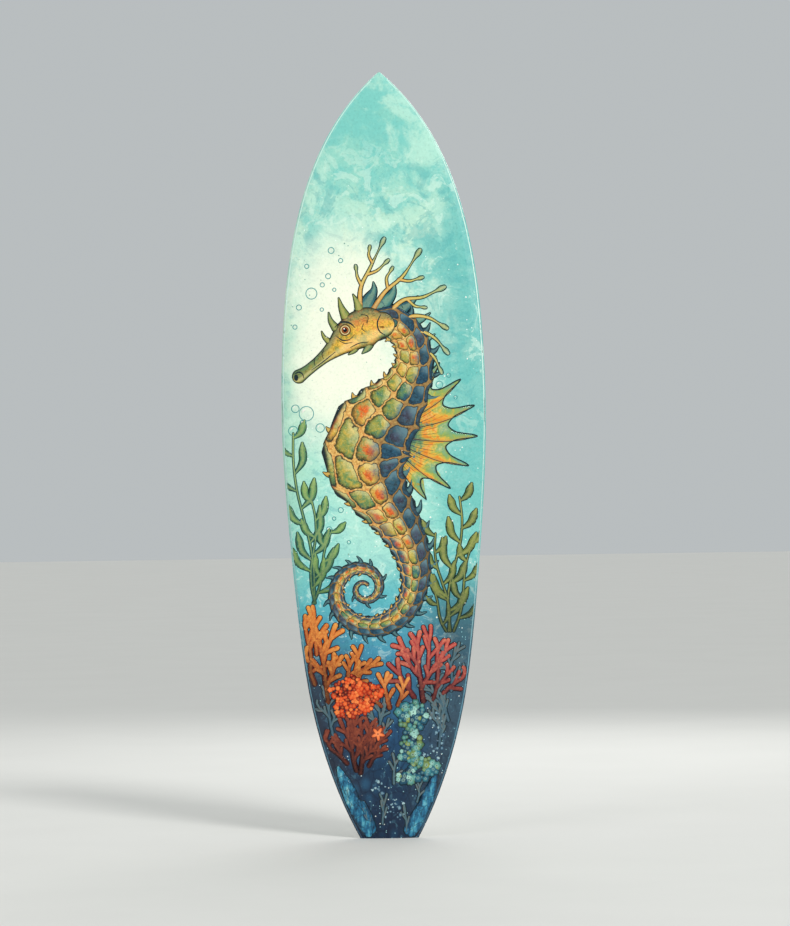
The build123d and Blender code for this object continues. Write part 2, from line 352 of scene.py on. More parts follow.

# %% [markdown]
# ## Strokes of paint
# Every painted shape is a stroke: a given path with a half width at each point, carried along as a
# thin lens of paint, or a disc, which is the same lens turned about its middle. Paint is laid in thin
# layers: a lens is highest in the middle and comes down to the layer below at its rim, and it is flat
# underneath, so its edge is crisp and its mesh is closed. Each point keeps three numbers for the shaders:
# along, across, and a tone that differs from stroke to stroke. A wider copy in dark ink, in a lower
# layer, makes the outline.


# %% A smooth path
def smooth_path(points, count):
    """A curve through the points: a cubic between each two, whose end slopes come from the neighbours,
    read back at even distances. Every column is carried along, the half width too."""
    p = np.array(points, float)
    if len(p) == 2:
        return p[0] + (p[1] - p[0]) * np.linspace(0, 1, count)[:, None]
    at = np.r_[0, np.cumsum(np.hypot(*np.diff(p[:, :2], axis=0).T))]
    slope = np.gradient(p, at, axis=0)
    fine = np.linspace(0, at[-1], 12 * len(p))
    k = np.clip(np.searchsorted(at, fine, side="right") - 1, 0, len(p) - 2)
    gap = (at[k + 1] - at[k])[:, None]
    s = (fine - at[k])[:, None] / gap
    curve = (
        (2 * s**3 - 3 * s**2 + 1) * p[k]
        + (s**3 - 2 * s**2 + s) * gap * slope[k]
        + (3 * s**2 - 2 * s**3) * p[k + 1]
        + (s**3 - s**2) * gap * slope[k + 1]
    )
    walked = np.r_[0, np.cumsum(np.hypot(*np.diff(curve[:, :2], axis=0).T))]
    even = np.linspace(0, walked[-1], count)
    return np.stack([np.interp(even, walked, column) for column in curve.T], axis=1)


def ring_count(centre, w):
    """How many rings lie before each station: a ring is 60 mm long where the body is 96 mm to a side, and
    grows shorter with about the square root of the half width."""
    pitch = 60 * MM * (w / (96 * MM)) ** 0.55
    steps = np.hypot(*np.diff(centre, axis=0).T) * 2 / (pitch[1:] + pitch[:-1])
    return np.r_[0, np.cumsum(steps)]


# %% Strokes, discs, rings and fans
PAINT_STEP = 0.08 * MM
PAINT_DOME = 0.12 * MM
RIM_MARGIN = 5.0 * MM
STATION_GAP = 5 * MM
CAP_STATIONS = 5
THINNEST = 0.3 * MM
RING_POINT = 0.1
FAN_STEPS = 24


class Paint:
    """A pile of strokes that becomes one piece. Layer counts from the deck out, dome is how far a stroke
    swells over its own layer, and margin is how far inside the board's outline it stays."""

    def __init__(self, name, layer, dome=PAINT_DOME, margin=RIM_MARGIN):
        self.name = name
        self.layer = layer
        self.dome = dome
        self.margin = margin
        self.points = []
        self.faces = []
        self.numbers = []
        self.count = 0

    def _add(self, points, faces, along, across, tone):
        """Puts one shape on the pile, with its faces' numbers moved past the points already there."""
        self.points.append(points)
        self.faces += [[corner + self.count for corner in face] for face in faces]
        self.numbers.append(np.stack([along, across, np.full(len(points), tone)], axis=1))
        self.count += len(points)

    def lay(self, x, z, across):
        """Points at x and z, kept inside the rim and lifted off the deck towards -Y by a half ellipse. It
        is highest in the middle of the stroke, where across is 0, and lowest where it is 1 or -1."""
        limit = half_width(z) - self.margin
        x = np.clip(x, -limit, limit)
        swell = np.sqrt(np.clip(1 - across**2, 0, 1))
        lift = (self.layer - 1) * PAINT_STEP + (self.dome + PAINT_STEP) * swell
        return np.stack([x, deck_y(x, z) - lift, z], axis=-1).reshape(-1, 3)

    def stroke(self, path, tone=None, grow=0.0, paced=False):
        """A stroke along a path of (x, z, half width) in millimetres, rounded at both ends. Its points
        are the path's, moved sideways by across times the half width. A paced stroke's along number
        counts rings, and its edge comes to a point at each ring."""
        tone = rng.random() if tone is None else tone
        path = np.array(path, float) * MM
        path[:, 2] += grow * MM
        widest = path[:, 2].max()
        reach = np.hypot(*np.diff(path[:, :2], axis=0).T).sum() + 2 * grow * MM
        pitch = min(widest * 0.5, STATION_GAP) + 1 * MM
        line = smooth_path(path, int(np.clip(reach / pitch, 8, 420)))
        run = np.gradient(line[:, :2], axis=0)
        run /= np.maximum(np.hypot(*run.T)[:, None], 1e-9)
        # Both ends get a round cap: extra stations that shrink as a half circle does
        turn = np.linspace(0.12, 1.45, CAP_STATIONS)
        start_w = max(line[0, 2], THINNEST)
        end_w = max(line[-1, 2], THINNEST)
        start = line[0, :2] - run[0] * (start_w * np.cos(turn))[:, None]
        end = line[-1, :2] + run[-1] * (end_w * np.cos(turn[::-1]))[:, None]
        centre = np.vstack([start, line[:, :2], end])
        w = np.r_[start_w * np.sin(turn), np.maximum(line[:, 2], THINNEST), end_w * np.sin(turn[::-1])]
        run = np.vstack([np.tile(run[0], (CAP_STATIONS, 1)), run, np.tile(run[-1], (CAP_STATIONS, 1))])
        across = np.linspace(-1, 1, int(np.clip(2 * widest / STATION_GAP, 7, 41)))
        along = np.linspace(0, 1, len(w))
        if paced:
            along = ring_count(centre, w)
            w = w * (1 + RING_POINT * abs(2 * ((along + 0.5) % 1) - 1) ** 2)
        side = np.stack([run[:, 1], -run[:, 0]], axis=1)
        x = centre[:, 0, None] + side[:, 0, None] * w[:, None] * across
        z = centre[:, 1, None] + side[:, 1, None] * w[:, None] * across
        points = self.lay(x, z, across)
        rows, columns = x.shape
        first = np.arange(rows - 1) * columns
        under = np.stack([first + columns - 1, first + 2 * columns - 1, first + columns, first], axis=1)
        faces = np.vstack([sheet_faces(rows, columns), under]).tolist() + end_faces(rows, columns)
        self._add(points, faces, np.repeat(along, columns), np.tile(across, rows), tone)

    def disc(self, x, z, radius, lobes=0, depth=0.0, turn=0.0, stretch=1.0, grow=0.0):
        """A disc: points at five shares of the radius, turned through a whole circle. The radius swells
        and shrinks by a cosine, lobes times round, and stretch makes the disc taller than wide."""
        tone = rng.random()
        angle = np.linspace(0, 2 * np.pi, max(20, 8 * lobes), endpoint=False)
        ring = np.array([0.001, 0.4, 0.75, 0.92, 1.0])
        rim = (radius + grow) * MM * (1 + depth * np.cos(lobes * angle + turn))
        px = x * MM + ring[:, None] * rim * np.cos(angle)
        pz = z * MM + ring[:, None] * rim * np.sin(angle) * stretch
        points = self.lay(px, pz, ring[:, None])
        rows, columns = px.shape
        first = (np.arange(rows - 1)[:, None] * columns + np.arange(columns)).ravel()
        after = (np.arange(rows - 1)[:, None] * columns + (np.arange(columns) + 1) % columns).ravel()
        faces = np.stack([first, first + columns, after + columns, after], axis=1).tolist()
        faces += end_faces(rows, columns)
        self._add(points, faces, np.tile(angle / (2 * np.pi), rows), np.repeat(ring, columns), tone)

    def ring(self, x, z, radius, thick):
        """A thin closed line round a circle: five points across it, at 28 turns."""
        angle = np.linspace(0, 2 * np.pi, 28, endpoint=False)
        across = np.linspace(-1, 1, 5)
        r = (radius + thick * across[None, :]) * MM
        px = x * MM + r * np.cos(angle)[:, None]
        pz = z * MM + r * np.sin(angle)[:, None]
        points = self.lay(px, pz, across)
        columns = len(across)
        here = np.arange(len(angle))[:, None] * columns
        there = np.roll(here, -1, axis=0)
        k = np.arange(columns)
        after = np.roll(k, -1)
        faces = np.stack([here + k, here + after, there + after, there + k], axis=-1)
        faces = faces.reshape(-1, 4).tolist()
        along = np.repeat(angle / (2 * np.pi), columns)
        self._add(points, faces, along, np.tile(across, len(angle)), rng.random())

    def fan(self, feet, angles, reach, tips, notch, bend):
        """A web spread between two feet: each line across it leaves its foot at an angle that turns evenly
        from the first to the last, and is longest at a ray's tip and shortest in the notch between two.
        Gives back the grid of its points, in millimetres, to draw on."""
        share = np.linspace(0, 1, FAN_STEPS * tips + 1)
        radial = np.linspace(0, 1, 26)
        wave = 0.5 + 0.5 * np.cos(2 * np.pi * tips * share)
        length = reach * (1 - notch * (1 - wave) ** 0.8) + reach * 0.3 * wave**10
        length = length * (0.82 + 0.3 * np.sin(np.pi * share) ** 0.8)
        turn = np.radians(angles[0] + (angles[1] - angles[0]) * share)
        foot = np.array(feet[0]) * (1 - share)[:, None] + np.array(feet[1]) * share[:, None]
        swing = turn + np.radians(bend) * radial[:, None] ** 2
        px = (foot[:, 0] + np.cos(swing) * length * radial[:, None]) * MM
        pz = (foot[:, 1] + np.sin(swing) * length * radial[:, None]) * MM
        # The paint is full from the feet out, and thins over the outer half and at the two sides
        points = self.lay(px, pz, np.maximum(2 * radial[:, None] - 1, abs(2 * share - 1) ** 6))
        rows, columns = px.shape
        last_row = (rows - 1) * columns
        border = np.r_[
            np.arange(columns),
            np.arange(2, rows + 1) * columns - 1,
            np.arange(last_row + columns - 2, last_row - 1, -1),
            np.arange(rows - 2, 0, -1) * columns,
        ]
        # One point under the middle closes the back: each edge of the border makes a triangle with it
        under = points[border].mean(axis=0) + (0, 2 * PAINT_STEP, 0)
        points = np.vstack([points, under])
        back = [[int(a), int(b), rows * columns] for a, b in zip(np.roll(border, -1), border)]
        along = np.r_[np.repeat(radial, columns), 0]
        across = np.r_[np.tile(share, rows), 0.5]
        self._add(points, sheet_faces(rows, columns).tolist() + back, along, across, 0.5)
        return np.stack([px, pz], axis=-1) / MM

    def build(self, material):
        """Makes the piece, with all its faces turned outward."""
        numbers = np.vstack(self.numbers)
        named = {"along": numbers[:, 0], "across": numbers[:, 1], "tone": numbers[:, 2]}
        piece = mesh_piece(self.name, np.vstack(self.points), self.faces, named)
        piece.data.materials.append(material)
        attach(piece, "board")
        print(self.name, "strokes", len(self.points), "faces", len(piece.data.polygons))


# %% Shapes outlined in ink
def draw(fill, ink, line, path, tone=None):
    """One stroke in colour over its outline in ink, which shows as a line that many millimetres wide."""
    ink.stroke(path, grow=line)
    fill.stroke(path, tone=tone)


def draw_disc(fill, ink, line, *disc):
    """The same for one disc."""
    ink.disc(*disc, grow=line)
    fill.disc(*disc)


# %% [markdown]
# ## The wash under the mural
# Before any shape is drawn, the deck is sprayed with a soft wash: teal at the nose, a warm glow behind
# the seahorse's head, clear aqua in the middle and deep navy at the tail. It is one material on the deck
# glass that reads where a point is on the board. Noise bends every edge, as wet colour runs.

# %% Deck wash
def speckles(kit, scale, size, share):
    """1 on small round spots, one in each cell of a random mesh, and only in a share of the cells."""
    near = kit.cells(scale)
    chosen = kit.node("ShaderNodeSeparateColor", None, {0: kit.cells(scale, out=1)})
    return near.step(size, size * 0.6) * chosen.step(1 - share - 0.01, 1 - share + 0.01)


def wash_material(name, coat):
    """A ramp down the board, then blotches, glows and shadows mixed over it. Each one is a band of noise,
    times the stretch of height or width where it may show, times how strong it is."""
    kit = Kit(name)
    x = kit.axis(0)
    z = kit.axis(2)
    run = kit.noise(6.5, 5, 0.6) - 0.5
    fine_run = kit.noise(24, 6, 0.62) - 0.5
    height = z + run * 0.2 + fine_run * 0.05
    down_the_board = [
        (0.045, "0f2038"), (0.12, "17344e"), (0.19, "22486a"), (0.245, "2f6888"), (0.29, "458ca6"),
        (0.345, "5cb0b8"), (0.41, "86cfc4"), (0.50, "a8dfcd"), (0.60, "c6ebd6"), (0.70, "e0f2da"),
        (0.80, "bfe4cd"), (0.88, "90d0c0"), (0.95, "82cabc"), (1.0, "94d4c5"),
    ]
    paint = kit.ramp(height / board_length, down_the_board)
    # Wet blotches in the upper half, from teal to pale mint
    patch = (kit.noise(8.5, 7, 0.68, bend=0.5) * 0.65 + fine_run * 0.6 + 0.25).step(0.5, 0.64)
    upper = z.step(0.8, 1.2)
    paint = kit.mix(patch * upper * 0.7, paint, "74c6bd")
    deep = kit.noise(15, 7, 0.7, bend=0.5, at=kit.shifted(move=(7, 0, 4))).step(0.57, 0.66)
    paint = kit.mix(deep * upper * 0.42, paint, "58aeaa")
    pale = kit.noise(7.5, 6, 0.66, bend=0.4, at=kit.shifted(move=(3, 1, 2))).step(0.48, 0.62)
    paint = kit.mix(pale * z.step(0.9, 1.5) * 0.7, paint, "bce6d2")
    # Small dabs of a brush in the middle, light and dark
    dab = kit.noise(34, 5, 0.68, bend=0.9, at=kit.shifted(scale=(1, 1, 1.5)))
    middle = z.step(0.4, 0.6) * z.step(1.25, 0.95)
    paint = kit.mix(dab.step(0.53, 0.62) * middle * 0.4, paint, "dcf4e4")
    paint = kit.mix(dab.step(0.46, 0.37) * middle * 0.45, paint, "4a9fa8")
    # Teal along the right edge and green along the left one
    wavy_x = x + run * 0.16 + fine_run * 0.07
    paint = kit.mix(wavy_x.step(0.06, 0.19) * z.step(0.65, 0.9) * z.step(1.75, 1.5) * 0.8, paint, "5cb4ae")
    paint = kit.mix(wavy_x.step(-0.13, -0.22) * z.step(0.7, 0.95) * z.step(1.5, 1.2) * 0.6, paint, "a9d8bc")
    # Pools with swirled edges round the seahorse's head and above it
    pool = kit.noise(17, 6, 0.66, bend=1.2, at=kit.shifted(move=(2, 5, 1)))
    above = z.step(0.95, 1.15) * z.step(1.8, 1.6)
    paint = kit.mix(pool.step(0.54, 0.6) * above * 0.4, paint, "52a8a8")
    paint = kit.mix(pool.step(0.45, 0.39) * above * 0.4, paint, "d8f2e0")
    # A glow is an oval: the squares of the two distances from its middle, added
    glow_x = (wavy_x + 0.09) / 0.165
    glow_z = (z - 1.25) / 0.3
    glow = (glow_x * glow_x + glow_z * glow_z).step(1.15, 0.1)
    paint = kit.mix(glow * 0.92, paint, "f4f5de")
    low_glow_x = (wavy_x + 0.02) / 0.15
    low_glow_z = (z - 0.86) / 0.2
    low_glow = (low_glow_x * low_glow_x + low_glow_z * low_glow_z).step(1.0, 0.1)
    paint = kit.mix(low_glow * 0.4, paint, "c8eeda")
    # Shade behind the weeds and the reef
    paint = kit.mix(wavy_x.step(0.02, 0.16) * z.step(0.78, 0.55) * 0.8, paint, "33454f")
    paint = kit.mix(wavy_x.step(-0.04, -0.15) * z.step(0.62, 0.42) * 0.75, paint, "2a2a30")
    murk = kit.noise(60, 6, 0.7, bend=0.6, at=kit.shifted(scale=(1, 1, 0.6)))
    paint = kit.mix(murk.step(0.52, 0.64) * z.step(0.62, 0.4) * 0.5, paint, "0c1a28")
    paint = kit.mix(murk.step(0.44, 0.36) * z.step(0.62, 0.4) * 0.35, paint, "4f7f92")
    # Cracked rock near the tail
    rock = kit.cells(30, at=kit.shifted(scale=(1, 1, 0.8)))
    crack = kit.cells(30, "DISTANCE_TO_EDGE", at=kit.shifted(scale=(1, 1, 0.8)))
    low_down = z.step(0.4, 0.24)
    paint = kit.mix(low_down * rock.step(0.5, 0.1) * 0.4, paint, "2a6284")
    paint = kit.mix(low_down * crack.step(0.05, 0.0) * 0.5, paint, "0c1a30")
    # Grain of the sprayed paint, and fine spray
    grain = kit.noise(190, 3, 0.7)
    paint = kit.mix(grain.step(0.5, 0.75) * 0.16, paint, "ffffff", "SOFT_LIGHT")
    paint = kit.mix(grain.step(0.5, 0.28) * 0.14, paint, "1d4a52", "MULTIPLY")
    paint = kit.mix(speckles(kit, 95, 0.16, 0.16) * z.step(1.75, 1.5) * 0.75, paint, "f4fff8")
    paint = kit.mix(speckles(kit, 140, 0.2, 0.3) * z.step(0.8, 0.5) * 0.8, paint, "9fd9de")
    paint = kit.mix(speckles(kit, 60, 0.09, 0.2) * z.step(0.6, 0.9) * 0.55, paint, "4f9c98")
    resin = kit.noise(14, 3, 0.5)
    return kit.finish(paint, roughness=PAINT_ROUGHNESS + resin * 0.06, coat=coat)


dress(wash_material("deck wash", GLOSS), "deck_glass")
dress(wash_material("printed cloth", 0.0), "deck_print")

# %% [markdown]
# ## Brush materials
# Each kind of plant or animal has its own brush: a run of colours along the stroke, shifted a little
# from stroke to stroke, darker at its edges where paint pools, and lighter along one side where the
# form turns to the light. Ink is a dark tone of what it outlines, a little lighter where the pen was dry.


# %% Brushes
def brush(
    name, stops, tone=0.25, mottle=0.35, edge=0.55, shine="f2c069", shine_share=0.35, scale=90, root=None
):
    """A painted stroke's material: the ramp is read along the stroke, by its tone and by noise. root is two
    heights and a colour: between them the paint fades down to that colour, where a plant is in shadow."""
    kit = Kit(name)
    along = kit.painted("along")
    across = kit.painted("across")
    pick = kit.painted("tone")
    blot = kit.noise(scale, 6, 0.62, bend=0.5)
    value = along * (1 - tone - mottle) + pick * tone + (blot - 0.25) * mottle * 2.0
    paint = kit.ramp(value, stops)
    near_side = (across - 0.25 + (blot - 0.5) * 0.8).step(0.42, 0.0)
    off_the_edge = (across + 0.6 + (blot - 0.5) * 0.6).step(0.0, 0.35)
    paint = kit.mix(near_side * off_the_edge * shine_share, paint, shine)
    pooled = (across * across + (blot - 0.5) * 0.5).step(0.45, 1.0)
    paint = kit.mix(pooled * edge, paint, stops[0][1], "MULTIPLY")
    if root:
        low, high, dark = root
        height = kit.axis(2) + (blot - 0.5) * 0.1
        paint = kit.mix(height.step(high, low) * 0.8, paint, dark, "MULTIPLY")
        tips = height.step(high, high + 0.12) * along.step(0.5, 1.0)
        paint = kit.mix(tips * 0.5, paint, shine)
    grain = kit.noise(420, 2, 0.7)
    paint = kit.mix(grain.step(0.4, 0.8) * 0.25, paint, "1c2a2c", "MULTIPLY")
    fleck = kit.noise(230, 5, 0.75)
    paint = kit.mix(fleck.step(0.52, 0.68) * 0.28, paint, stops[0][1])
    paint = kit.mix(fleck.step(0.44, 0.34) * 0.22, paint, shine)
    return kit.sealed(paint, blot)


def ink_material(name, dark, pale):
    """Ink that goes from dark to pale where noise says the pen ran dry."""
    kit = Kit(name)
    dry = kit.noise(150, 4, 0.7)
    return kit.sealed(kit.mix(dry.step(0.45, 0.85) * 0.7, dark, pale), dry)


ink_dark = ink_material("pen ink", "14262b", "33525a")

# %% [markdown]
# ## The seahorse's body
# The body is a single tapering stroke that runs from the nape over the arched neck, swells at the belly
# and curls into a spiral. On a real seahorse it is a suit of bony plates, ring after ring with ridges
# between them. The plates could be modelled one by one, but here the stroke's own along and across
# numbers draw them in the shader, so rings stay square to the body wherever it turns. The tail is a
# logarithmic spiral: its radius shrinks by the same share in every turn, as curled tails and shells do.

# %% Body stroke
trunk = [
    (-24, 1292, 34), (26, 1296, 37), (62, 1262, 38), (74, 1206, 42), (52, 1140, 56), (10, 1082, 80),
    (-32, 1024, 96), (-40, 962, 94), (-14, 896, 68), (26, 834, 52), (56, 772, 42), (70, 712, 35),
]
TAIL_EYE = np.array([-52, 672])
turned = np.linspace(0, 3.7 * np.pi, 40)
tail_radius = 118 * np.exp(-0.19 * turned)
tail_x = TAIL_EYE[0] + tail_radius * np.cos(turned)
tail_z = TAIL_EYE[1] - tail_radius * np.sin(turned)
tail_path = np.stack([tail_x, tail_z, 29 * np.exp(-0.185 * turned)], axis=1)
body_path = np.vstack([trunk, tail_path])

body_ink = Paint("seahorse_outline", layer=2)
body = Paint("seahorse_body", layer=6)
body_ink.stroke(body_path, grow=2.2, paced=True)
body.stroke(body_path, tone=0.5, paced=True)


# %% Plates
def plate_material():
    """Rounded plates: in each cell the fourth powers of the distances from its middle, added, make a
    square with round corners. Inside it is the plate, just outside it a dark line, and beyond that the
    gold ridge."""
    kit = Kit("seahorse plates")
    along = kit.painted("along")
    across = kit.painted("across")
    wobble = kit.noise(40, 4, 0.6) - 0.5
    fleck = kit.noise(150, 6, 0.72)
    blot = kit.noise(52, 5, 0.66, bend=0.8)
    # Rings sag in the middle of the body, as hoops round a barrel do
    ring = along + across * across * 0.55 + wobble * 0.4
    ridge = across * 1.85 + 0.5 + wobble * 0.35
    up = ring.fraction() * 2 - 1
    aside = ridge.fraction() * 2 - 1
    square = up**2 * up**2 + aside**2 * aside**2 + (fleck - 0.5) * 0.22
    plate = square.step(0.66, 0.58)
    line = square.step(0.5, 0.62) * square.step(0.82, 0.7)
    own = kit.pick(ring.floor(), ridge.floor())
    hue = own * 0.5 + blot * 0.85 - 0.2 + across * 0.14
    fill = kit.ramp(hue, [
        (0.0, "1f4a56"), (0.2, "3a6f66"), (0.36, "6a8a4e"), (0.48, "a89c44"),
        (0.6, "d6ae48"), (0.7, "cc9440"), (0.82, "7f8f52"), (1.0, "447a68"),
    ])
    # A few plates have an ember in the middle
    glow = (up**2 + aside**2 + (blot - 0.5) * 2.0).step(0.4, 0.0)
    ember = own.step(0.5, 0.56)
    fill = kit.mix(glow * ember * 0.85, fill, kit.mix(fleck.step(0.35, 0.65), "b8260f", "ec6420"))
    # Each plate is domed: lit on one shoulder and dark on the other, with chips of light and dark paint
    lit = (up * 0.8 + aside * 0.5 + 0.5 + (fleck - 0.5) * 1.6).step(0.5, -0.3)
    fill = kit.mix(lit * 0.45, fill, "f0e2a0")
    hollow = (square + (fleck - 0.5) * 0.5 + up * 0.25 + aside * 0.2).step(0.12, 0.75)
    fill = kit.mix(hollow * 0.85, fill, "34483a", "MULTIPLY")
    chip = kit.noise(330, 4, 0.7)
    fill = kit.mix(chip.step(0.55, 0.66) * 0.3, fill, "f6e8a8")
    fill = kit.mix(chip.step(0.44, 0.33) * 0.35, fill, "1f3a38")
    # Gold ridges between the plates, and navy over the back and along the tail's sides
    gold = kit.mix(fleck.step(0.32, 0.68), "b47a34", "f0c878")
    gold = kit.mix(kit.noise(64, 4).step(0.52, 0.66) * 0.5, gold, "dd7440")
    back = (across + (blot - 0.5) * 0.45 + wobble * 0.5).step(0.02, -0.34)
    low = along.step(11, 16) * (abs(across) + (blot - 0.5) * 0.6).step(0.35, 0.7)
    navy = kit.mix(fleck.step(0.32, 0.7), "0e2236", "2f5c74")
    navy = kit.mix(lit * 0.55, navy, "6a96a4")
    fill = kit.mix((back + low).clamp() * 0.94, fill, navy)
    gold = kit.mix((back * 0.7 + low * 0.3).clamp(), gold, kit.mix(fleck, "2c302e", "8f7040"))
    paint = kit.mix(plate, gold, fill)
    paint = kit.mix(line * 0.9, paint, "182424")
    rim = abs(across) + (fleck - 0.5) * 0.12
    paint = kit.mix(rim.step(0.9, 1.0) * 0.75, paint, "16282e")
    return kit.sealed(paint, blot, normal=kit.bump(plate, 0.3, 0.0004))


body.build(plate_material())

# %% [markdown]
# ## Spines
# Seahorses carry a small spine wherever a ring meets a ridge. They are placed by walking the body path:
# at each station the edge point is the centre moved sideways by the half width, and the spine hooks
# towards the head. The back gets long dark hooks, the belly gets short gold knobs.

# %% Spines along both edges
body_line = smooth_path(body_path, 900)
step_along = np.gradient(body_line[:, :2], axis=0)
step_along /= np.hypot(*step_along.T)[:, None]
belly_side = np.stack([step_along[:, 1], -step_along[:, 0]], axis=1)
rings_before = ring_count(body_line[:, :2] * MM, body_line[:, 2] * MM)
print("rings", round(float(rings_before[-1]), 1))


def spine(paint, ring, side, length, lean, root):
    """One hooked spine on the edge of the body, so many rings from its start. Side is 1 for the belly and
    -1 for the back, lean is how far the tip moves along the body, and root is half the foot's width."""
    k = int(np.interp(ring, rings_before, np.arange(len(body_line))))
    out = belly_side[k] * side
    sunk = 0.35 * root
    foot = body_line[k, :2] + out * (body_line[k, 2] - sunk)
    knee = foot + out * (length + sunk) * 0.45 + step_along[k] * length * lean * 0.1
    tip = foot + out * (length + sunk) + step_along[k] * length * lean
    draw(paint, body_ink, 1.4, [(*foot, root), (*knee, root * 0.56), (*tip, 0.7)])


back_spines = Paint("seahorse_back_spines", layer=3)
belly_spines = Paint("seahorse_belly_spines", layer=3)
for ring in np.arange(1, rings_before[-1] - 3):
    half = np.interp(ring, rings_before, body_line[:, 2])
    # Near the tail's tip only every other ring has a spine
    if half < 11 and ring % 2 < 1:
        continue
    root = min(0.12 * half + 5.4, 0.65 * half + 1)
    spine(back_spines, ring, -1, 0.26 * half + rng.uniform(8, 12), rng.uniform(-0.75, -0.4), root)
    if ring % 2 < 1 or half > 24:
        length = 0.08 * half + rng.uniform(3, 5)
        spine(belly_spines, ring, 1, length, rng.uniform(-0.9, -0.3), 0.55 * root + 1)
back_spines.build(brush(
    "back spine paint", [(0.0, "10202f"), (0.5, "1f4252"), (0.85, "3f7078"), (1.0, "6f9c8c")],
    shine="7fb0a8", mottle=0.4,
))
belly_spines.build(brush(
    "belly spine paint", [(0.0, "7a6a2c"), (0.5, "c9983a"), (1.0, "7f9f6a")], shine="f0d080",
))

# %% [markdown]
# ## Head, snout and eye
# The head is one more tapering stroke, deep at the cheek and drawn out into a pipe of a snout that flares
# at the mouth, with thorns on the brow and the throat. Its skin is mottled gold and olive with fine
# wrinkles, which are the edges of a pattern of cells. The eye is a single disc whose rings are all in
# its shader, and a small white disc on top is the light in it.

# %% Head
head_ink = Paint("seahorse_head_outline", layer=8)
thorns = Paint("head_thorns", layer=7)
for path in (
    [(-110, 1286, 9), (-122, 1304, 5), (-126, 1322, 0.9)],
    [(-86, 1312, 11), (-96, 1334, 6), (-102, 1356, 0.9)],
    [(-54, 1330, 10), (-60, 1348, 6), (-68, 1364, 0.9)],
    [(-128, 1256, 6), (-138, 1266, 3.4), (-143, 1278, 0.8)],
    [(-30, 1256, 13), (-36, 1238, 8), (-48, 1226, 0.9)],
    [(-60, 1246, 9), (-68, 1232, 5), (-80, 1224, 0.9)],
):
    draw(thorns, body_ink, 1.8, path)
thorns.build(brush(
    "thorn paint", [(0.0, "9a8436"), (0.4, "7f8f4a"), (0.75, "4f7f68"), (1.0, "2a5560")],
    edge=0.4, shine="d8c878",
))

head = Paint("seahorse_head", layer=9)
draw(head, head_ink, 1.6, [
    (-2, 1292, 30), (-26, 1290, 43), (-58, 1280, 43), (-88, 1260, 34), (-112, 1240, 22), (-138, 1219, 14),
    (-164, 1198, 11.5), (-184, 1183, 12.5), (-198, 1174, 15.5),
])


def head_material():
    """Mottled gold, tinted by zones: dark green under the jaw, green on the brow and snout, and an
    orange cheek."""
    kit = Kit("head paint")
    across = kit.painted("across")
    along = kit.painted("along")
    blot = kit.noise(34, 6, 0.66, bend=0.6)
    fleck = kit.noise(170, 6, 0.75)
    paint = kit.ramp(blot * 0.9 + (fleck - 0.5) * 0.7 + 0.02, [
        (0.0, "2f5a56"), (0.24, "5f8450"), (0.36, "a8983e"), (0.46, "e6b03c"),
        (0.6, "f6d064"), (0.72, "dd8a30"), (1.0, "b8541f"),
    ])
    lower = (across + (blot - 0.5) * 0.9).step(0.15, 0.8)
    paint = kit.mix(lower * 0.7, paint, kit.mix(fleck, "1f4a52", "5f8a6c"))
    brow = (across + (blot - 0.5) * 0.9).step(-0.5, -0.95) * along.step(0.7, 0.2)
    paint = kit.mix(brow * 0.5, paint, kit.mix(fleck, "2f6060", "7fa06a"))
    cheek = (blot + (fleck - 0.5) * 0.7).step(0.54, 0.62) * along.step(0.55, 0.4)
    paint = kit.mix(cheek * 0.55, paint, "d8631f")
    snout = along.step(0.45, 0.75) * (blot + (fleck - 0.5) * 0.5 + 0.12).step(0.42, 0.66)
    paint = kit.mix(snout * 0.85, paint, "547f54")
    wrinkle = kit.cells(95, "DISTANCE_TO_EDGE", at=kit.shifted(scale=(1, 1, 1.7)))
    paint = kit.mix((wrinkle + (fleck - 0.5) * 0.2).step(0.06, 0.0) * 0.6, paint, "4a3418")
    lit = (across + 0.45 + (fleck - 0.5) * 0.8).step(0.35, 0.0) * (across + 0.9).step(0.0, 0.3)
    paint = kit.mix(lit * 0.35, paint, "fbe7a4")
    rim = abs(across) + (fleck - 0.5) * 0.2
    paint = kit.mix(rim.step(0.78, 1.0) * 0.6, paint, "2c3a26", "MULTIPLY")
    return kit.sealed(paint, blot)


head.build(head_material())
head_ink.build(ink_dark)

# %% Face marks
marks = Paint("seahorse_face_marks", layer=11)
for path in (
    [(-208, 1180, 1.0), (-199, 1184, 1.8), (-190, 1180, 1.4), (-187, 1170, 0.8)],
    [(-112, 1230, 0.8), (-136, 1211, 1.3), (-168, 1188, 0.7)],
    [(6, 1268, 0.8), (-6, 1276, 1.6), (-12, 1296, 1.8), (-4, 1316, 0.8)],
    [(-34, 1252, 0.7), (-54, 1250, 1.2), (-76, 1240, 0.8)],
    [(-112, 1288, 0.8), (-98, 1299, 1.9), (-78, 1298, 1.9), (-64, 1286, 0.8)],
    [(-108, 1266, 0.8), (-94, 1257, 1.7), (-76, 1260, 0.9), (-66, 1270, 0.7)],
    [(-104, 1258, 0.6), (-90, 1250, 1.1), (-72, 1252, 0.6)],
    [(-138, 1236, 0.6), (-143, 1226, 1.1), (-140, 1214, 0.6)],
    [(-158, 1219, 0.6), (-162, 1209, 1.1), (-160, 1199, 0.6)],
    [(-50, 1318, 0.6), (-34, 1312, 1.2), (-36, 1296, 0.7)],
    [(-40, 1276, 0.6), (-48, 1284, 1.1), (-44, 1296, 0.7)],
):
    marks.stroke(path)
marks.disc(-205, 1171, 5.2, stretch=1.5)
marks.build(ink_dark)


# %% Eye
EYE_X = -88
EYE_Z = 1281
EYE_RADIUS = 14


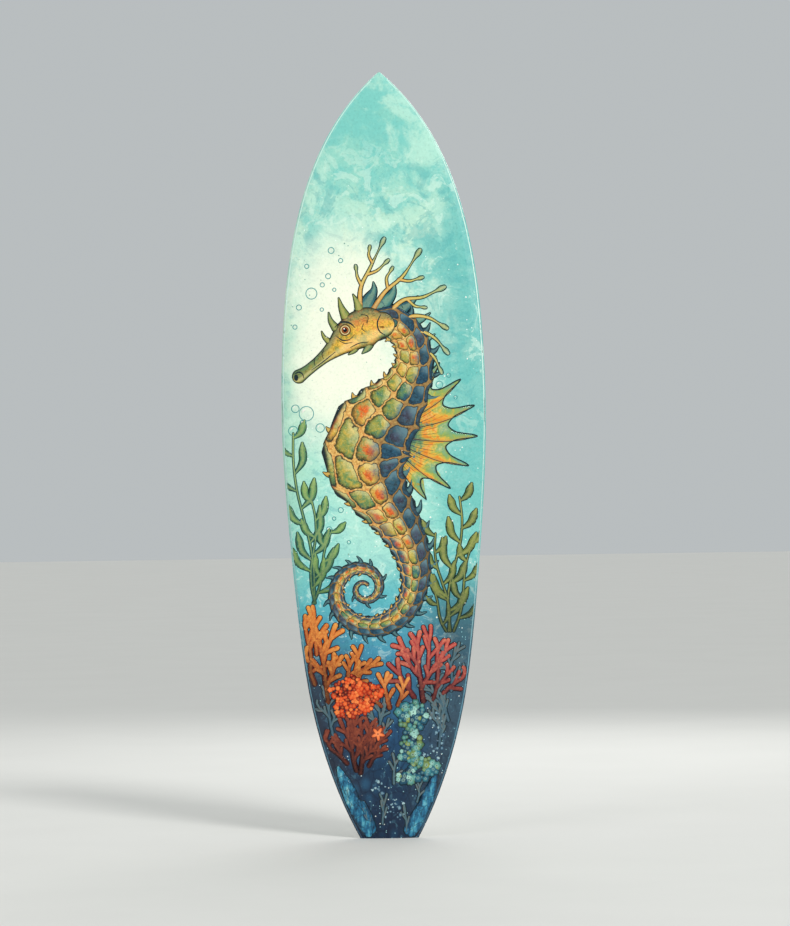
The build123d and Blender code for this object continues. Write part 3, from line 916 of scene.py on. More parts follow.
def eye_material():
    """Rings by the disc's across number, from the pupil out to the lid."""
    kit = Kit("eye paint")
    out = kit.painted("across")
    turn = kit.painted("along")
    thread = kit.noise(260, 4, 0.7)
    iris = kit.mix((turn * 40).fraction().step(0.2, 0.7) * thread, "b8642a", "5a2612")
    paint = kit.mix(out.step(0.34, 0.38), "0b0f12", iris)
    paint = kit.mix(out.step(0.5, 0.54), paint, "241c14")
    paint = kit.mix(out.step(0.6, 0.64), paint, kit.mix(thread, "d8b46a", "f3e2a8"))
    paint = kit.mix(out.step(0.74, 0.8), paint, kit.mix(thread, "3a2c18", "7a5a30"))
    return kit.finish(paint, roughness=0.2, coat=GLOSS)


eye = Paint("seahorse_eye", layer=13)
eye.disc(EYE_X, EYE_Z, EYE_RADIUS)
eye.build(eye_material())
glint = Paint("seahorse_eye_glint", layer=15)
glint.disc(EYE_X - 2, EYE_Z + 3, 1.7)
glint.build(brush("eye glint", [(0.0, "ffffff"), (0.5, "ffffff"), (1.0, "ffffff")], edge=0.0))

# %% [markdown]
# ## Crest and fronds
# A leafy seahorse hides among weeds by growing skin on its crown: first a dark ragged crest behind the
# head, then long fronds that start between its lobes. A frond is thin along its stem and swells to a soft
# drop at the end, so it is one stroke whose half width falls and then rises again.

# %% Crest
crest = Paint("head_crest", layer=3)
for path in (
    [(-46, 1322, 20), (-30, 1352, 15), (-18, 1378, 6), (-20, 1392, 1)],
    [(-20, 1322, 22), (8, 1346, 16), (26, 1368, 8), (30, 1388, 1)],
    [(8, 1312, 22), (44, 1328, 16), (66, 1342, 8), (84, 1358, 1)],
    [(26, 1296, 22), (66, 1300, 15), (92, 1304, 7), (112, 1318, 1)],
    [(48, 1270, 22), (84, 1262, 14), (106, 1258, 6), (122, 1268, 1)],
    [(66, 1232, 20), (96, 1218, 12), (114, 1208, 5), (124, 1216, 1)],
    [(70, 1196, 20), (98, 1180, 11), (112, 1168, 5), (120, 1174, 1)],
):
    draw(crest, body_ink, 1.8, path)
crest.build(brush(
    "crest paint", [(0.0, "14303e"), (0.35, "2a5a66"), (0.65, "3f7f7c"), (1.0, "7fae92")],
    mottle=0.55, shine="a8c8a0", scale=60,
))

# %% Fronds
fronds = Paint("head_fronds", layer=5)
fronds_ink = Paint("head_fronds_outline", layer=4)
# Distance past the stem's end and half width, both as shares of the drop's radius
DROP = ((-1.2, 0.5), (0.6, 1.0), (1.7, 0.8))


def frond(stem, drop):
    """A stem with a drop at its end: the last direction runs on while the half width swells."""
    before = np.array(stem[-2][:2], float)
    end = np.array(stem[-1][:2], float)
    out = (end - before) / np.hypot(*(end - before))
    swell = [(*(end + out * drop * far), drop * wide) for far, wide in DROP]
    draw(fronds, fronds_ink, 1.5, [*stem[:-1], *swell])


for stem, drop in (
    ([(-52, 1330, 7), (-50, 1378, 4.4), (-26, 1428, 3.2), (2, 1484, 2.6)], 5.8),
    ([(-48, 1386, 3.6), (-58, 1408, 2.6), (-60, 1424, 2.2)], 4.2),
    ([(-36, 1410, 3.4), (-10, 1420, 2.6), (10, 1438, 2.2)], 4.6),
    ([(-22, 1438, 3.0), (-30, 1458, 2.4), (-28, 1470, 2.0)], 3.8),
    ([(-26, 1322, 7), (8, 1370, 4.4), (48, 1404, 3.4), (84, 1456, 2.8)], 6.4),
    ([(14, 1376, 3.4), (12, 1404, 2.6), (22, 1420, 2.2)], 4.0),
    ([(40, 1398, 3.4), (66, 1394, 2.6), (88, 1400, 2.2)], 4.6),
    ([(8, 1312, 7), (52, 1350, 4.4), (96, 1356, 3.2), (136, 1374, 2.6)], 6.4),
    ([(60, 1350, 3.2), (80, 1334, 2.6), (96, 1332, 2.2)], 3.8),
    ([(30, 1296, 7), (78, 1312, 4.4), (112, 1306, 3.2), (142, 1288, 2.6)], 6.0),
    ([(54, 1268, 7), (94, 1274, 4.4), (124, 1258, 3.2), (146, 1232, 2.6)], 6.0),
    ([(68, 1232, 6), (102, 1230, 4.0), (122, 1212, 3.0), (134, 1186, 2.4)], 5.0),
):
    frond(stem, drop)
fronds.build(brush(
    "frond paint",
    [
        (0.0, "3f5a4a"), (0.15, "a8703a"), (0.34, "d9a242"),
        (0.54, "bdb050"), (0.7, "7f9f6c"), (0.86, "6fa898"),
    ],
    tone=0.12, mottle=0.16, shine="f6dc98",
))
fronds_ink.build(ink_dark)

# %% [markdown]
# ## The back fin
# The fin is a bat-like web held out by soft rays. Each ray ends in a long point and the web sags between
# two points, which is a cosine wave raised to a high power and added to the fan's length. The rays and
# the rim are strokes of ink along lines of the fan's own grid. The finer strands between them are drawn
# by the shader from the fan's across number, and the colour runs out from dark roots to gold.

# %% Back fin
fin = Paint("seahorse_back_fin", layer=3)
fin_ink = Paint("seahorse_back_fin_outline", layer=4)
FIN_RAYS = 7
web = fin.fan(((34, 1074), (16, 1000)), (62, -66), reach=136, tips=FIN_RAYS, notch=0.16, bend=10)
RIM_LINE = 1.5
fin_ink.stroke(np.insert(web[-1], 2, RIM_LINE, axis=1))
# A thick line to the tip of each ray, and two thin ones that stop short between it and the next
for k in range(0, web.shape[1], FAN_STEPS // 3):
    on_ray = k % FAN_STEPS == 0
    end = 26 if on_ray else 20
    thick = RIM_LINE if on_ray else 0.8
    fin_ink.stroke(np.c_[web[2:end, k], np.linspace(thick, 0.5 * thick, end - 2)])


def back_fin_material():
    """Dark at the root, then gold, orange and green outwards, with fine strands and a light in each bay."""
    kit = Kit("back fin paint")
    along = kit.painted("along")
    across = kit.painted("across")
    blot = kit.noise(42, 6, 0.64, bend=0.5)
    fleck = kit.noise(160, 5, 0.7)
    paint = kit.ramp(along * 0.85 + (blot - 0.5) * 0.9 + 0.03, [
        (0.0, "13242f"), (0.26, "2a545c"), (0.38, "6a9060"), (0.47, "cfa23c"), (0.56, "e0812c"),
        (0.64, "dfae42"), (0.76, "8fa653"), (1.0, "5f9f8c"),
    ])
    # Strands fan out between the rays, six to a bay
    ray = ((across * FIN_RAYS).fraction() - 0.5) * 2
    strand = ((across * FIN_RAYS * 6 + (blot - 0.5) * 0.9).fraction() - 0.5) * 2
    paint = kit.mix(abs(strand).step(0.68, 0.96) * 0.5 * along.step(1.0, 0.5), paint, "2a3a2c")
    bone = abs(ray).step(0.82, 0.97) * along.step(1.0, 0.85)
    paint = kit.mix(bone * 0.7, paint, kit.mix(fleck, "8a5a28", "e0b060"))
    web_light = abs(ray).step(0.6, 0.1) * along.step(0.35, 0.75) * fleck.step(0.4, 0.7)
    paint = kit.mix(web_light * 0.5, paint, "f6e08c")
    paint = kit.mix((along + (fleck - 0.5) * 0.1).step(0.955, 1.0) * 0.6, paint, "2c3c2c")
    return kit.sealed(paint, blot)


fin.build(back_fin_material())
fin_ink.build(ink_dark)
# The spines, the thorns and the crest are outlined in the body's ink, so it is built after them
body_ink.build(ink_dark)

# %% [markdown]
# ## Weeds
# Kelp grows up both edges of the board: a wavy stem with long blades that leave it at a narrow angle, to
# the left and the right in turn. The same function grows both beds, and only the list of stems differs.
# A second function makes a bed of any plant, and serves the corals too. Places are given in millimetres,
# as x and z on the deck.


# %% Kelp
def kelp(paint, ink, foot, top, blade, width, count, curl):
    """A stem from foot to top with count leaves on it. A leaf is about as long as blade and twice width
    across, and the stem sways to both sides by curl, as one full sine wave."""
    foot, top = np.array(foot, float), np.array(top, float)
    run = top - foot
    side = np.array([run[1], -run[0]]) / np.hypot(*run)
    share = np.linspace(0, 1, 7)
    stem = foot + run * share[:, None] + side * (curl * np.sin(share * 2 * np.pi))[:, None]
    stem_path = np.c_[stem, 3.2 - 1.6 * share]
    draw(paint, ink, 1.5, stem_path, tone=0.2)
    up = run / np.hypot(*run)
    for k, at in enumerate(np.linspace(0.14, 0.97, count)):
        root = np.array([np.interp(at, share, stem[:, 0]), np.interp(at, share, stem[:, 1])])
        hand = -1 if k % 2 else 1
        turn = math.radians(rng.uniform(18, 42)) * hand
        # The stem's direction, turned to the right by that angle
        way = np.array([
            up[0] * math.cos(turn) + up[1] * math.sin(turn),
            up[1] * math.cos(turn) - up[0] * math.sin(turn),
        ])
        long = blade * (1.05 - 0.45 * at) * rng.uniform(0.85, 1.15)
        hook = np.array([way[1], -way[0]]) * long * 0.14 * hand
        middle = root + way * long * 0.5 + hook
        tip = root + way * long
        shoulder = middle * 0.4 + tip * 0.6
        leaf = [(*root, 1.8), (*middle, width), (*shoulder, width * 0.95), (*tip, width * 0.35)]
        draw(paint, ink, 1.4, leaf)


# %% Beds of kelp
def bed(name, layer, grow, plants, material, outline):
    """A bed of plants in one paint, each grown by the function, with its outline one layer below."""
    paint = Paint(name, layer)
    ink = Paint(name + "_outline", layer - 1)
    for plant in plants:
        grow(paint, ink, *plant)
    paint.build(material)
    ink.build(outline)


bed("kelp_left", 3, kelp, [
    ((-170, 640), (-214, 1040), 92, 8.4, 9, 9),
    ((-168, 640), (-172, 880), 78, 8.0, 6, -8),
    ((-172, 640), (-126, 810), 66, 7.4, 5, 5),
], brush(
    "green weed paint", [(0.0, "17443f"), (0.35, "33705a"), (0.7, "6a9a58"), (1.0, "a3b95c")],
    tone=0.35, mottle=0.5, shine="c3d27c", root=(0.6, 0.8, "4f7f86"),
), ink_material("weed ink", "1c4744", "3d7d74"))

bed("kelp_right", 3, kelp, [
    ((150, 570), (176, 885), 84, 8.6, 9, -11),
    ((146, 570), (118, 800), 68, 7.6, 6, 8),
    ((158, 570), (208, 780), 64, 7.4, 5, 6),
    ((140, 570), (104, 680), 46, 6.0, 3, -4),
], brush(
    "olive weed paint", [(0.0, "1c3832"), (0.35, "43603a"), (0.7, "76863c"), (1.0, "a6a24a")],
    tone=0.35, mottle=0.5, shine="bdb86a", root=(0.5, 0.74, "4a6068"),
), ink_material("olive ink", "1b2f2e", "3f5a4c"))

# %% [markdown]
# ## Corals
# A branching coral is the same rule used again and again: a branch bends a little, sheds side twigs and
# ends in a blunt tip. The function calls itself with a shorter, thinner branch each time, and old
# branches are painted darker than young ones. The amber coral in the middle lies one layer higher than
# its neighbours, so it covers their roots.


# %% Corals
RAIL_GAP = 15


def coral(paint, ink, x, z, heading, reach, width, depth, spread, twigs):
    """A branch that leaves x, z at a heading from straight up, in degrees, with smaller branches on it.
    Depth is how many times it branches again, spread is how wide those open, and twigs are those on its
    side. It turns back where it nears the rail, and the last branches swell to a blunt tip."""
    bend = rng.uniform(-16, 16)
    swell = -0.07 if depth else 0.05
    points = [(x, z, width)]
    for part in (1, 2, 3):
        rail = half_width(z * MM) / MM - RAIL_GAP
        heading += bend / 2 - (26 * np.sign(x) if abs(x) > rail else 0)
        x += math.sin(math.radians(heading)) * reach / 3
        z += math.cos(math.radians(heading)) * reach / 3
        points.append((x, z, width * (1 + swell * part)))
    if abs(x) > rail + 8 and depth < 2:
        return
    draw(paint, ink, 1.3, points, tone=min(0.86 - 0.4 * depth + 0.3 * rng.random(), 1))
    if depth == 0:
        return
    for k in range(twigs):
        px, pz, _ = points[1 + k % 3]
        turn = (-1 if k % 2 else 1) * rng.uniform(0.8, 1.3) * spread
        twig = (heading + turn, reach * 0.54, width * 0.82, depth - 1)
        coral(paint, ink, px, pz, *twig, spread, twigs)
    for side in (-1, 1):
        turn = side * rng.uniform(0.35, 0.75) * spread
        fork = (heading + turn, reach * 0.58, width * 0.86, depth - 1)
        coral(paint, ink, x, z, *fork, spread, twigs)


def coral_paint(name, stops, shine, root, shine_share=0.3):
    """A brush whose colour follows the tone, which is low on old branches and high on young ones."""
    return brush(name, stops, tone=0.58, mottle=0.26, shine=shine, shine_share=shine_share, root=root)


coral_ink = ink_material("coral ink", "2a1418", "6a2a24")
bed("coral_orange", 4, coral, [
    (-140, 408, -10, 96, 7.6, 2, 34, 2),
    (-172, 450, -12, 84, 6.8, 2, 32, 1),
    (-118, 410, 22, 74, 6.6, 2, 36, 2),
    (-166, 520, -2, 70, 5.6, 1, 30, 2),
    (-96, 420, 40, 56, 5.6, 1, 34, 2),
], coral_paint(
    "orange coral paint",
    [(0.0, "38181c"), (0.24, "6a2a20"), (0.48, "a4421e"), (0.76, "cc6a2c"), (1.0, "f0b45c")],
    shine="f4a850", root=(0.4, 0.56, "6a3a44"),
), coral_ink)
bed("coral_red", 4, coral, [
    (84, 408, -6, 84, 7.2, 2, 38, 2),
    (108, 412, 24, 74, 6.6, 2, 36, 1),
    (62, 416, -38, 62, 6.0, 1, 36, 2),
    (132, 424, 40, 52, 5.4, 1, 30, 2),
    (96, 484, 6, 62, 5.4, 1, 32, 2),
], coral_paint(
    "red coral paint",
    [(0.0, "2c1428"), (0.24, "521d2e"), (0.48, "822834"), (0.76, "ac3c3c"), (1.0, "e08a66")],
    shine="e88a6a", root=(0.39, 0.54, "5a3450"),
), coral_ink)
bed("coral_amber", 5, coral, [
    (4, 392, -14, 52, 6.0, 1, 38, 3),
    (-16, 396, -40, 40, 5.0, 1, 34, 2),
    (24, 398, 30, 42, 5.2, 1, 36, 2),
], coral_paint(
    "amber coral paint", [(0.0, "4c1c18"), (0.35, "8a361e"), (0.7, "bc582a"), (1.0, "eca450")],
    shine="f6b060", root=(0.37, 0.46, "6a3a44"),
), coral_ink)
bed("coral_rust", 4, coral, [
    (-76, 246, -18, 66, 5.8, 2, 30, 2),
    (-66, 240, 8, 64, 5.8, 2, 30, 3),
    (-98, 262, -36, 50, 5.2, 2, 30, 2),
    (-46, 256, 32, 50, 5.0, 2, 30, 2),
    (-84, 300, -2, 50, 5.0, 1, 30, 3),
    (-50, 300, 14, 44, 4.6, 1, 28, 3),
], coral_paint(
    "rust coral paint", [(0.0, "1e101a"), (0.35, "3d191d"), (0.7, "602824"), (1.0, "985038")],
    shine="a8502e", root=(0.2, 0.34, "4a2c3c"), shine_share=0.25,
), coral_ink)
bed("weed_low", 3, coral, [
    (12, 214, -6, 44, 3.6, 1, 30, 2),
    (-16, 120, 4, 44, 3.0, 1, 24, 2),
    (40, 100, 8, 40, 2.8, 1, 24, 2),
    (-44, 104, -10, 34, 2.6, 1, 24, 2),
    (66, 170, 20, 34, 2.8, 1, 24, 2),
    (150, 430, 10, 60, 4.4, 2, 28, 2),
    (120, 300, 8, 60, 4.4, 2, 28, 2),
    (142, 360, -8, 60, 4.4, 2, 28, 2),
    (-20, 300, -10, 60, 4.2, 2, 28, 2),
    (-130, 330, -16, 60, 4.4, 2, 26, 2),
], brush(
    "low weed paint", [(0.0, "1a2c40"), (0.4, "2c4a5c"), (0.75, "4a5f62"), (1.0, "7a6250")],
    tone=0.6, shine="5f8490",
), ink_dark)

# %% [markdown]
# ## Bead coral, polyps, rocks and pebbles
# The round corals are crowds of discs. Bead coral is round and five-lobed discs packed by a sunflower
# spiral, whose turn of 137.5 degrees never lines up. Polyps are lobed discs with a dark mouth. The blue
# rocks at the tail are a few broad strokes, with facets from a cell pattern, and pebbles are small discs
# with three soft corners.

# %% Bead coral
beads = Paint("bead_coral", layer=7)
beads_ink = Paint("bead_coral_outline", layer=6)
SUNFLOWER_TURN = math.radians(137.5)
BEAD_X = -78
BEAD_Z = 418
for k in range(132):
    turn = SUNFLOWER_TURN * k
    # The heap's edge swells and shrinks three and five times round, so it isn't an oval
    r = 5.0 * math.sqrt(k) * (1 + 0.12 * math.sin(3 * turn + 1) + 0.09 * math.sin(5 * turn))
    x = BEAD_X + r * 0.98 * math.cos(turn) + rng.normal(0, 1.3)
    z = BEAD_Z + r * 0.82 * math.sin(turn) + rng.normal(0, 1.3)
    size = rng.uniform(3.6, 7.2)
    lobes = int(rng.integers(0, 2)) * 5
    draw_disc(beads, beads_ink, 0.9, x, z, size, lobes, 0.14, turn)


def dotted_material(name, stops, mouth, mouth_size, shine):
    """Discs whose colour changes from one to the next: dark at the rim, lit inside, with a mouth in the
    middle."""
    kit = Kit(name)
    out = kit.painted("across")
    pick = kit.painted("tone")
    blot = kit.noise(60, 5, 0.65)
    paint = kit.ramp(pick * 0.95 + blot * 0.5 - 0.22, stops)
    paint = kit.mix((out + (blot - 0.5) * 0.3).step(0.6, 1.0) * 0.6, paint, stops[0][1], "MULTIPLY")
    paint = kit.mix((out + (blot - 0.5) * 0.5).step(0.5, 0.2) * 0.32, paint, shine)
    paint = kit.mix(out.step(mouth_size, mouth_size * 0.5) * 0.9, paint, mouth)
    return kit.sealed(paint, blot)


beads_ink.build(coral_ink)
beads.build(dotted_material(
    "bead coral paint", [(0.0, "5f140c"), (0.35, "a82c12"), (0.7, "dc4c1e"), (1.0, "f28a44")],
    "6a140c", 0.1, "f59a58",
))

# %% Polyps
polyps = Paint("polyps", layer=6)
polyps_ink = Paint("polyps_outline", layer=5)
for middle_x, middle_z, wide, tall, count in (
    (56, 372, 34, 34, 38), (52, 300, 24, 40, 34), (80, 248, 36, 26, 28), (42, 228, 24, 16, 14),
):
    for k in range(count):
        far = math.sqrt((k + 0.5) / count)
        turn = SUNFLOWER_TURN * k
        size = 4.4 + 8 * rng.random() ** 1.6
        lobes = int(rng.integers(5, 9))
        x = middle_x + wide * far * math.cos(turn) + rng.normal(0, 2)
        z = middle_z + tall * far * math.sin(turn) + rng.normal(0, 2)
        draw_disc(polyps, polyps_ink, 1.2, x, z, size, lobes, 0.1, turn)
polyps_ink.build(ink_dark)
polyps.build(dotted_material(
    "polyp paint",
    [
        (0.0, "15324a"), (0.22, "20566a"), (0.42, "3a8088"), (0.56, "4a7456"),
        (0.7, "8a9440"), (0.8, "4a8a84"), (1.0, "a4d0c0"),
    ],
    "1b343c", 0.17, "b4dccb",
))

# %% Rocks
rocks = Paint("reef_rocks", layer=3)
rocks_ink = Paint("reef_rocks_outline", layer=2)
for boulder in (
    [(-118, 250, 5), (-104, 214, 15), (-90, 178, 19), (-82, 150, 12)],
    [(-96, 196, 9), (-76, 156, 17), (-60, 122, 17), (-50, 100, 12)],
    [(-62, 168, 6), (-52, 138, 12), (-44, 108, 13)],
    [(112, 234, 5), (100, 200, 13), (88, 168, 17), (80, 146, 11)],
    [(90, 182, 8), (74, 146, 16), (60, 114, 15), (52, 98, 11)],
    [(64, 150, 5), (52, 124, 10), (44, 104, 11)],
):
    draw(rocks, rocks_ink, 1.4, boulder)


def rock_material():
    """Blue rock with streaks up its faces, split into facets by dark cracks."""
    kit = Kit("reef rock paint")
    pick = kit.painted("tone")
    facet = kit.cells(56, at=kit.shifted(scale=(1, 1, 0.6)))
    crack = kit.cells(56, "DISTANCE_TO_EDGE", at=kit.shifted(scale=(1, 1, 0.6)))
    blot = kit.noise(70, 5, 0.65)
    streak = kit.noise(26, 5, 0.7, at=kit.shifted(scale=(2.2, 1, 0.4)))
    rim = abs(kit.painted("across"))
    paint = kit.ramp(pick * 0.2 + blot + streak * 1.6 + facet * 0.3 - rim * 0.25 - 1.05, [
        (0.0, "0f2440"), (0.24, "173f58"), (0.44, "24688a"),
        (0.64, "4897ac"), (0.84, "8cc2c6"), (1.0, "cfe6dc"),
    ])
    paint = kit.mix(crack.step(0.07, 0.0) * 0.6, paint, "0e1c30")
    return kit.sealed(paint, blot)


rocks_ink.build(ink_dark)
rocks.build(rock_material())

# %% Pebbles
pebbles = Paint("pebbles", layer=3)
for middle_x, middle_z, wide, tall, count in (
    (112, 330, 20, 54, 34), (12, 150, 26, 30, 24), (-20, 206, 22, 20, 12), (96, 266, 26, 22, 16),
):
    for _ in range(count):
        far = math.sqrt(rng.random())
        turn = rng.uniform(0, 2 * math.pi)
        x = middle_x + wide * far * math.cos(turn)
        z = middle_z + tall * far * math.sin(turn)
        pebbles.disc(x, z, rng.uniform(1.4, 4.2), 3, 0.08, turn, stretch=rng.uniform(0.7, 1.3))
pebbles.build(dotted_material(
    "pebble paint", [(0.0, "22405a"), (0.4, "3a617a"), (0.7, "6f93a2"), (1.0, "a9c6c8")],
    "4f7a90", 0.2, "c9dedc",
))

# %% [markdown]
# ## Bubbles, specks and a sea star
# A bubble is a thin dark ring with a lit crescent inside it, on the upper left of each, where light comes
# down from the surface. Small specks of spray fill the water between them. The sea star on the reef is
# one disc whose rim swells five times round.

# %% Bubbles
bubbles = Paint("bubble_rings", layer=2)
glints = Paint("bubble_glints", layer=3)
for x, z, size in (
    (-166, 1368, 13), (-150, 1052, 10), (-214, 1046, 11), (-190, 1064, 7), (-126, 1408, 6), (-140, 1388, 5),
    (-182, 1086, 17), (-208, 1098, 9), (-118, 1468, 7), (-96, 1444, 5), (-176, 1432, 5), (-196, 1336, 6),
    (-142, 1330, 4), (-112, 1376, 4), (-206, 1290, 5), (132, 1150, 8), (154, 1172, 5), (118, 1184, 4),
    (170, 1120, 4), (-104, 858, 6), (-120, 838, 4), (-132, 812, 7), (104, 706, 5), (-86, 782, 4),
):
    bubbles.ring(x, z, size, 1.0)
    glints.stroke([
        (x - size * 0.55, z + size * 0.1, 0.5),
        (x - size * 0.42, z + size * 0.42, size * 0.11 + 0.4),
        (x - size * 0.05, z + size * 0.58, 0.5),
    ])
bubbles.build(ink_material("bubble ink", "4c9a98", "86c4bc"))
glints.build(brush("bubble glint", [(0.0, "e6fbf4"), (0.5, "f4fffb"), (1.0, "ffffff")], edge=0.0))

# %% Specks of spray
specks = Paint("spray_specks", layer=2)
dark_specks = Paint("dark_specks", layer=2)
for _ in range(150):
    z = rng.uniform(560, 1500)
    x = rng.uniform(-0.92, 0.92) * half_width(z * MM) / MM
    pile = specks if rng.random() < 0.62 else dark_specks
    pile.disc(x, z, rng.uniform(0.7, 2.4) if pile is specks else rng.uniform(0.8, 1.9))
specks.build(brush("spray speck paint", [(0.0, "dff5ea"), (0.5, "eefcf2"), (1.0, "ffffff")], edge=0.0))
dark_specks.build(brush("dark speck paint", [(0.0, "3f8f92"), (0.5, "5fa8a2"), (1.0, "86bfae")], edge=0.2))

# %% Sea star
star = Paint("sea_star", layer=7)
star_ink = Paint("sea_star_outline", layer=6)
draw_disc(star, star_ink, 1.4, -24, 330, 12, 5, 0.42, 1.2)
star_ink.build(coral_ink)
star.build(dotted_material(
    "sea star paint", [(0.0, "b5341c"), (0.5, "e0582c"), (1.0, "f08a4c")], "7f2416", 0.2, "f7b07c",
))

# %% [markdown]
# ## The rim line
# Glassers finish a board with a pinline, a thin stripe that hides the lap where the two cloths meet. Its
# pale paint is also a painted highlight, standing in for the light that the rounded rails catch. It
# follows the outline a few millimetres in, up both sides, so its path is the outline itself.

# %% Pinline, with its painted rail highlight
PIN_INSET = 4.2 * MM
PIN_HALF_WIDTH = 1.5 * MM
# A pinline whose pale paint is also a painted highlight along the rails
pinline_highlight = Paint("pinline_highlight", layer=2, dome=0.1 * MM, margin=2.6 * MM)
above_tail = outline[outline[:, 1] > 0.02]
for side in (-1, 1):
    inset = np.maximum(above_tail[:, 0] - PIN_INSET, 0)
    half = np.full(len(above_tail), PIN_HALF_WIDTH)
    route = np.stack([side * inset, above_tail[:, 1], half], axis=1) / MM
    pinline_highlight.stroke(route[::12], tone=0.5)


def pinline_highlight_material():
    """A painted highlight along the rails: pale at the nose and dark at the tail, as the wash beside it is.
    """
    kit = Kit("pinline paint")
    z = kit.axis(2)
    dry = kit.noise(40, 5, 0.65)
    paint = kit.ramp(z / board_length + (dry - 0.5) * 0.08, [
        (0.0, "1f3550"), (0.25, "5f8ea0"), (0.45, "a9d3cc"), (0.7, "d6f2e6"), (1.0, "b9e6d8"),
    ])
    return kit.finish(paint, roughness=PAINT_ROUGHNESS + dry * 0.04, coat=GLOSS)


pinline_highlight.build(pinline_highlight_material())

# %% [markdown]
# ## The bottom, the fins and the hardware
# Under the board the glass is clear over white foam, so the bottom reads as a warm white with the wooden
# stringer showing as a thin line and the cloth's weave just visible in the resin. Nothing is modelled
# for these: the weave is two sine waves at right angles, and the stringer is a band round x = 0.


# %% Bottom glass, foam and stringer
def weave(kit, pitch):
    """Threads over and under: the product of two sine waves, high where one thread tops another."""
    across = kit.axis(0) * (2 * math.pi / pitch)
    up = kit.axis(2) * (2 * math.pi / pitch)
    return across.sine() * up.sine() * 0.5 + 0.5


def wood_grain(kit):
    """Long dark lines in pale wood: noise squeezed hard across the grain and stretched along it."""
    lines = kit.noise(1, 6, 0.7, at=kit.shifted(scale=(900, 900, 9)))
    return kit.ramp(lines, [(0.25, "8a6238"), (0.5, "b98d58"), (0.75, "d3ab74")])


STRINGER_EDGE = 0.0023
BOTTOM_THREAD = 0.0016


def bottom_material():
    """Cloudy white with a fine weave, the stringer's wood in the middle, and a tint towards the rails."""
    kit = Kit("bottom laminate")
    x = kit.axis(0)
    z = kit.axis(2)
    cloud = kit.noise(7, 5, 0.6)
    paint = kit.mix(cloud.step(0.35, 0.7), "e9efe6", "f4f3ea")
    paint = kit.mix(weave(kit, BOTTOM_THREAD) * 0.1, paint, "c7d2cb")
    paint = kit.mix(abs(x).step(STRINGER_EDGE, STRINGER_EDGE - 0.0006) * 0.85, paint, wood_grain(kit))
    tint = kit.mix(z.step(0.0, 1.2), "8fb4bd", "bfe6da")
    paint = kit.mix((abs(x) + cloud * 0.02).step(0.17, 0.25) * 0.25, paint, tint)
    scuff = kit.noise(55, 8, 0.7).step(0.62, 0.75)
    threads = kit.bump(weave(kit, BOTTOM_THREAD), 0.06, 0.0002)
    return kit.finish(paint, roughness=scuff * 0.14 + 0.2, coat=GLOSS, normal=threads)


def foam_material():
    """Small closed cells, cut open where the blank was shaped."""
    kit = Kit("foam blank")
    cell = kit.cells(900)
    paint = kit.mix(cell.step(0.2, 0.6), "e4dfcf", "f3f0e4")
    return kit.finish(paint, roughness=0.9, normal=kit.bump(cell, 0.3, 0.0004))


def stringer_material():
    """Bare wood, matt from sanding."""
    kit = Kit("stringer wood")
    return kit.finish(wood_grain(kit), roughness=0.55)


dress(bottom_material(), "bottom_glass")
dress(foam_material(), "foam_blank_left", "foam_blank_right")
dress(stringer_material(), "stringer")


# %% The three fins
def honeycomb(kit, cell):
    """A net of hexagons: three waves at 120 degrees to each other, added. The sum is high in the middle of
    each cell, and about -1 along the walls between two cells."""
    pace = 4 * math.pi / (math.sqrt(3) * cell)
    waves = 0
    for turn in (0, 2 * math.pi / 3, 4 * math.pi / 3):
        across = kit.axis(1) * (math.cos(turn) * pace) + kit.axis(2) * (math.sin(turn) * pace)
        waves = (across + math.pi / 2).sine() + waves
    return waves


HONEYCOMB_CELL = 0.006
FIN_THREAD = 0.0014


def fin_material():
    """Pressed glass over a honeycomb core: a hexagon net under a fine weave, in deep teal resin."""
    kit = Kit("fin laminate")
    cloud = kit.noise(24, 5, 0.6)
    paint = kit.mix(cloud, "0f3a46", "1c5a66")
    paint = kit.mix(honeycomb(kit, HONEYCOMB_CELL).step(-0.6, -1.0) * 0.3, paint, "5fa3a6")
    paint = kit.mix(weave(kit, FIN_THREAD) * 0.16, paint, "0a242e")
    wear = kit.noise(120, 6, 0.7).step(0.66, 0.8)
    threads = kit.bump(weave(kit, FIN_THREAD), 0.08, 0.0002)
    return kit.finish(paint, roughness=wear * 0.2 + 0.22, coat=0.8, normal=threads)


dress(fin_material(), "fin_left", "fin_right", "fin_centre")


# %% Plugs, leash cup and steel
def plastic_material(name, low, high, roughness):
    """Moulded plastic with a fine grain, in a colour that drifts a little between two."""
    kit = Kit(name)
    grain = kit.noise(900, 3, 0.6)
    paint = kit.mix(kit.noise(45, 4, 0.6), low, high)
    return kit.finish(paint, roughness=grain * 0.12 + roughness, normal=kit.bump(grain, 0.12, 0.0002))


def steel_material(name):
    """Brushed steel: noise stretched along x and squeezed across it."""
    kit = Kit(name)
    brushed = kit.noise(1, 4, 0.65, at=kit.shifted(scale=(60, 2200, 2200)))
    paint = kit.mix(brushed, "a9abac", "d6d8d8")
    lines = kit.bump(brushed, 0.1, 0.0001)
    return kit.finish(paint, roughness=brushed * 0.2 + 0.16, metallic=1.0, normal=lines)


plugs = [name for name in nodes if name.startswith("fin_plug")]
screws = [name for name in nodes if name.startswith("grub_screw")]
dress(plastic_material("plug plastic", "dfe3df", "f0f1ec", 0.38), *plugs)
dress(plastic_material("cup plastic", "121517", "1e2326", 0.32), "leash_cup")
dress(steel_material("stainless"), "leash_bar", *screws)

# %% [markdown]
# ## The studio
# A plain pale floor lies at the height where sand meets the board. A hazy sun shines from the front, high
# on the right. Three broad lamps soften it: one high on the left, a weaker one on the right, and one
# behind that picks out the rails. The camera stands well back, so the board is drawn without perspective
# that would pinch its nose or tail.

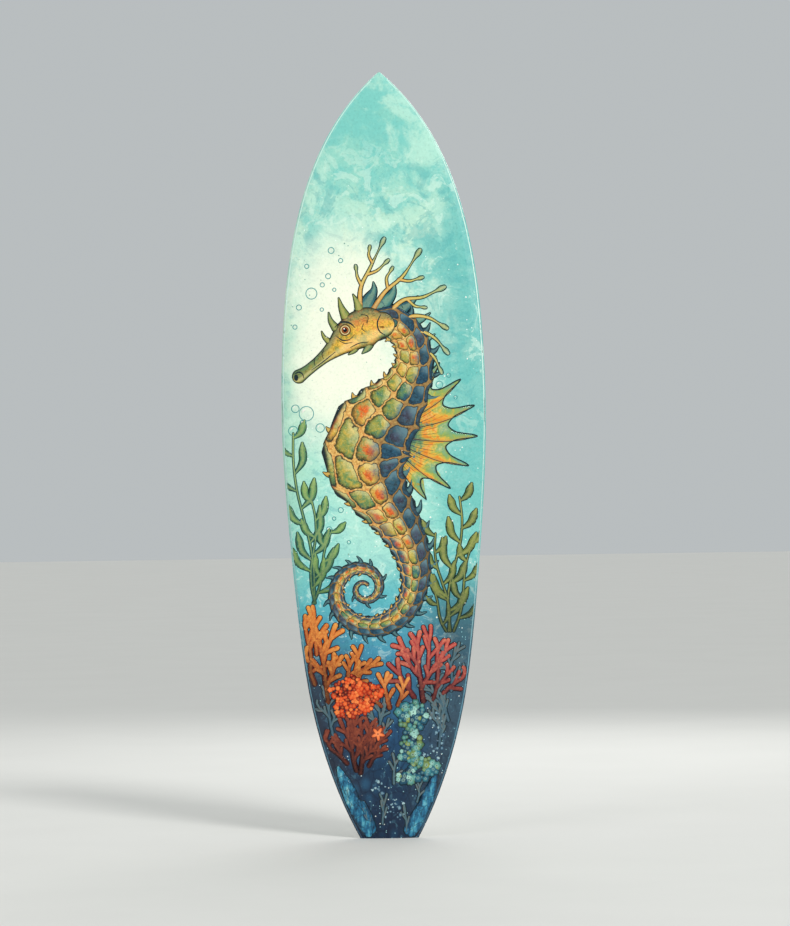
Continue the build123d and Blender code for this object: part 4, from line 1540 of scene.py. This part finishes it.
# %% Floor
FLOOR_REACH = 30
floor_points = np.array([(-1, -1), (1, -1), (1, 1), (-1, 1)]) * FLOOR_REACH
floor_points = np.insert(floor_points.astype(float), 2, sand_level, axis=1)
floor = mesh_piece("floor", floor_points, [[0, 1, 2, 3]])
floor_kit = Kit("studio floor")
floor_colour = floor_kit.mix(floor_kit.noise(3, 4), "d2d1cc", "d8d7d2")
floor.data.materials.append(floor_kit.finish(floor_colour, roughness=0.85))


# %% Lights
def light(name, kind, way, place=(0, 0, 0)):
    """A light that shines along way."""
    lamp = bpy.data.lights.new(name, kind)
    holder = bpy.data.objects.new(name, lamp)
    holder.location = place
    holder.rotation_euler = Vector(way).to_track_quat("-Z", "Y").to_euler()
    scene.collection.objects.link(holder)
    return lamp


def area_light(name, place, power, size):
    """A square lamp at place, turned towards the middle of the board."""
    lamp = light(name, "AREA", Vector((0, 0, board_length / 2)) - Vector(place), place)
    lamp.energy = power
    lamp.size = size


sun = light("sun", "SUN", (-2.0, 3.6, -2.9))
sun.energy = 1.7
sun.angle = math.radians(14)
area_light("key", (-2.8, -3.4, 3.2), power=42, size=2.4)
area_light("fill", (3.2, -2.6, 2.0), power=26, size=2.0)
area_light("back", (0.8, 3.4, 3.0), power=60, size=2.6)
world = bpy.data.worlds.new("studio")
scene.world = world
world.use_nodes = True
sky = world.node_tree.nodes["Background"]
sky.inputs["Color"].default_value = colour("e8eef0")
sky.inputs["Strength"].default_value = 0.6
scene.view_settings.view_transform = "Standard"
print("lights", [lamp.name for lamp in bpy.data.lights])

# %% Camera
camera_distance = 10.0
view_height = 2.178
camera_data = bpy.data.cameras.new("camera")
camera_data.sensor_fit = "VERTICAL"
camera_data.sensor_height = 36
camera_data.lens = camera_data.sensor_height * camera_distance / view_height
camera = bpy.data.objects.new("camera", camera_data)
camera.location = (0.025, -camera_distance, 0.967)
camera.rotation_euler = (math.radians(90), math.radians(0.8), 0)
scene.collection.objects.link(camera)
scene.camera = camera
print("lens", round(camera_data.lens, 1), "mm")
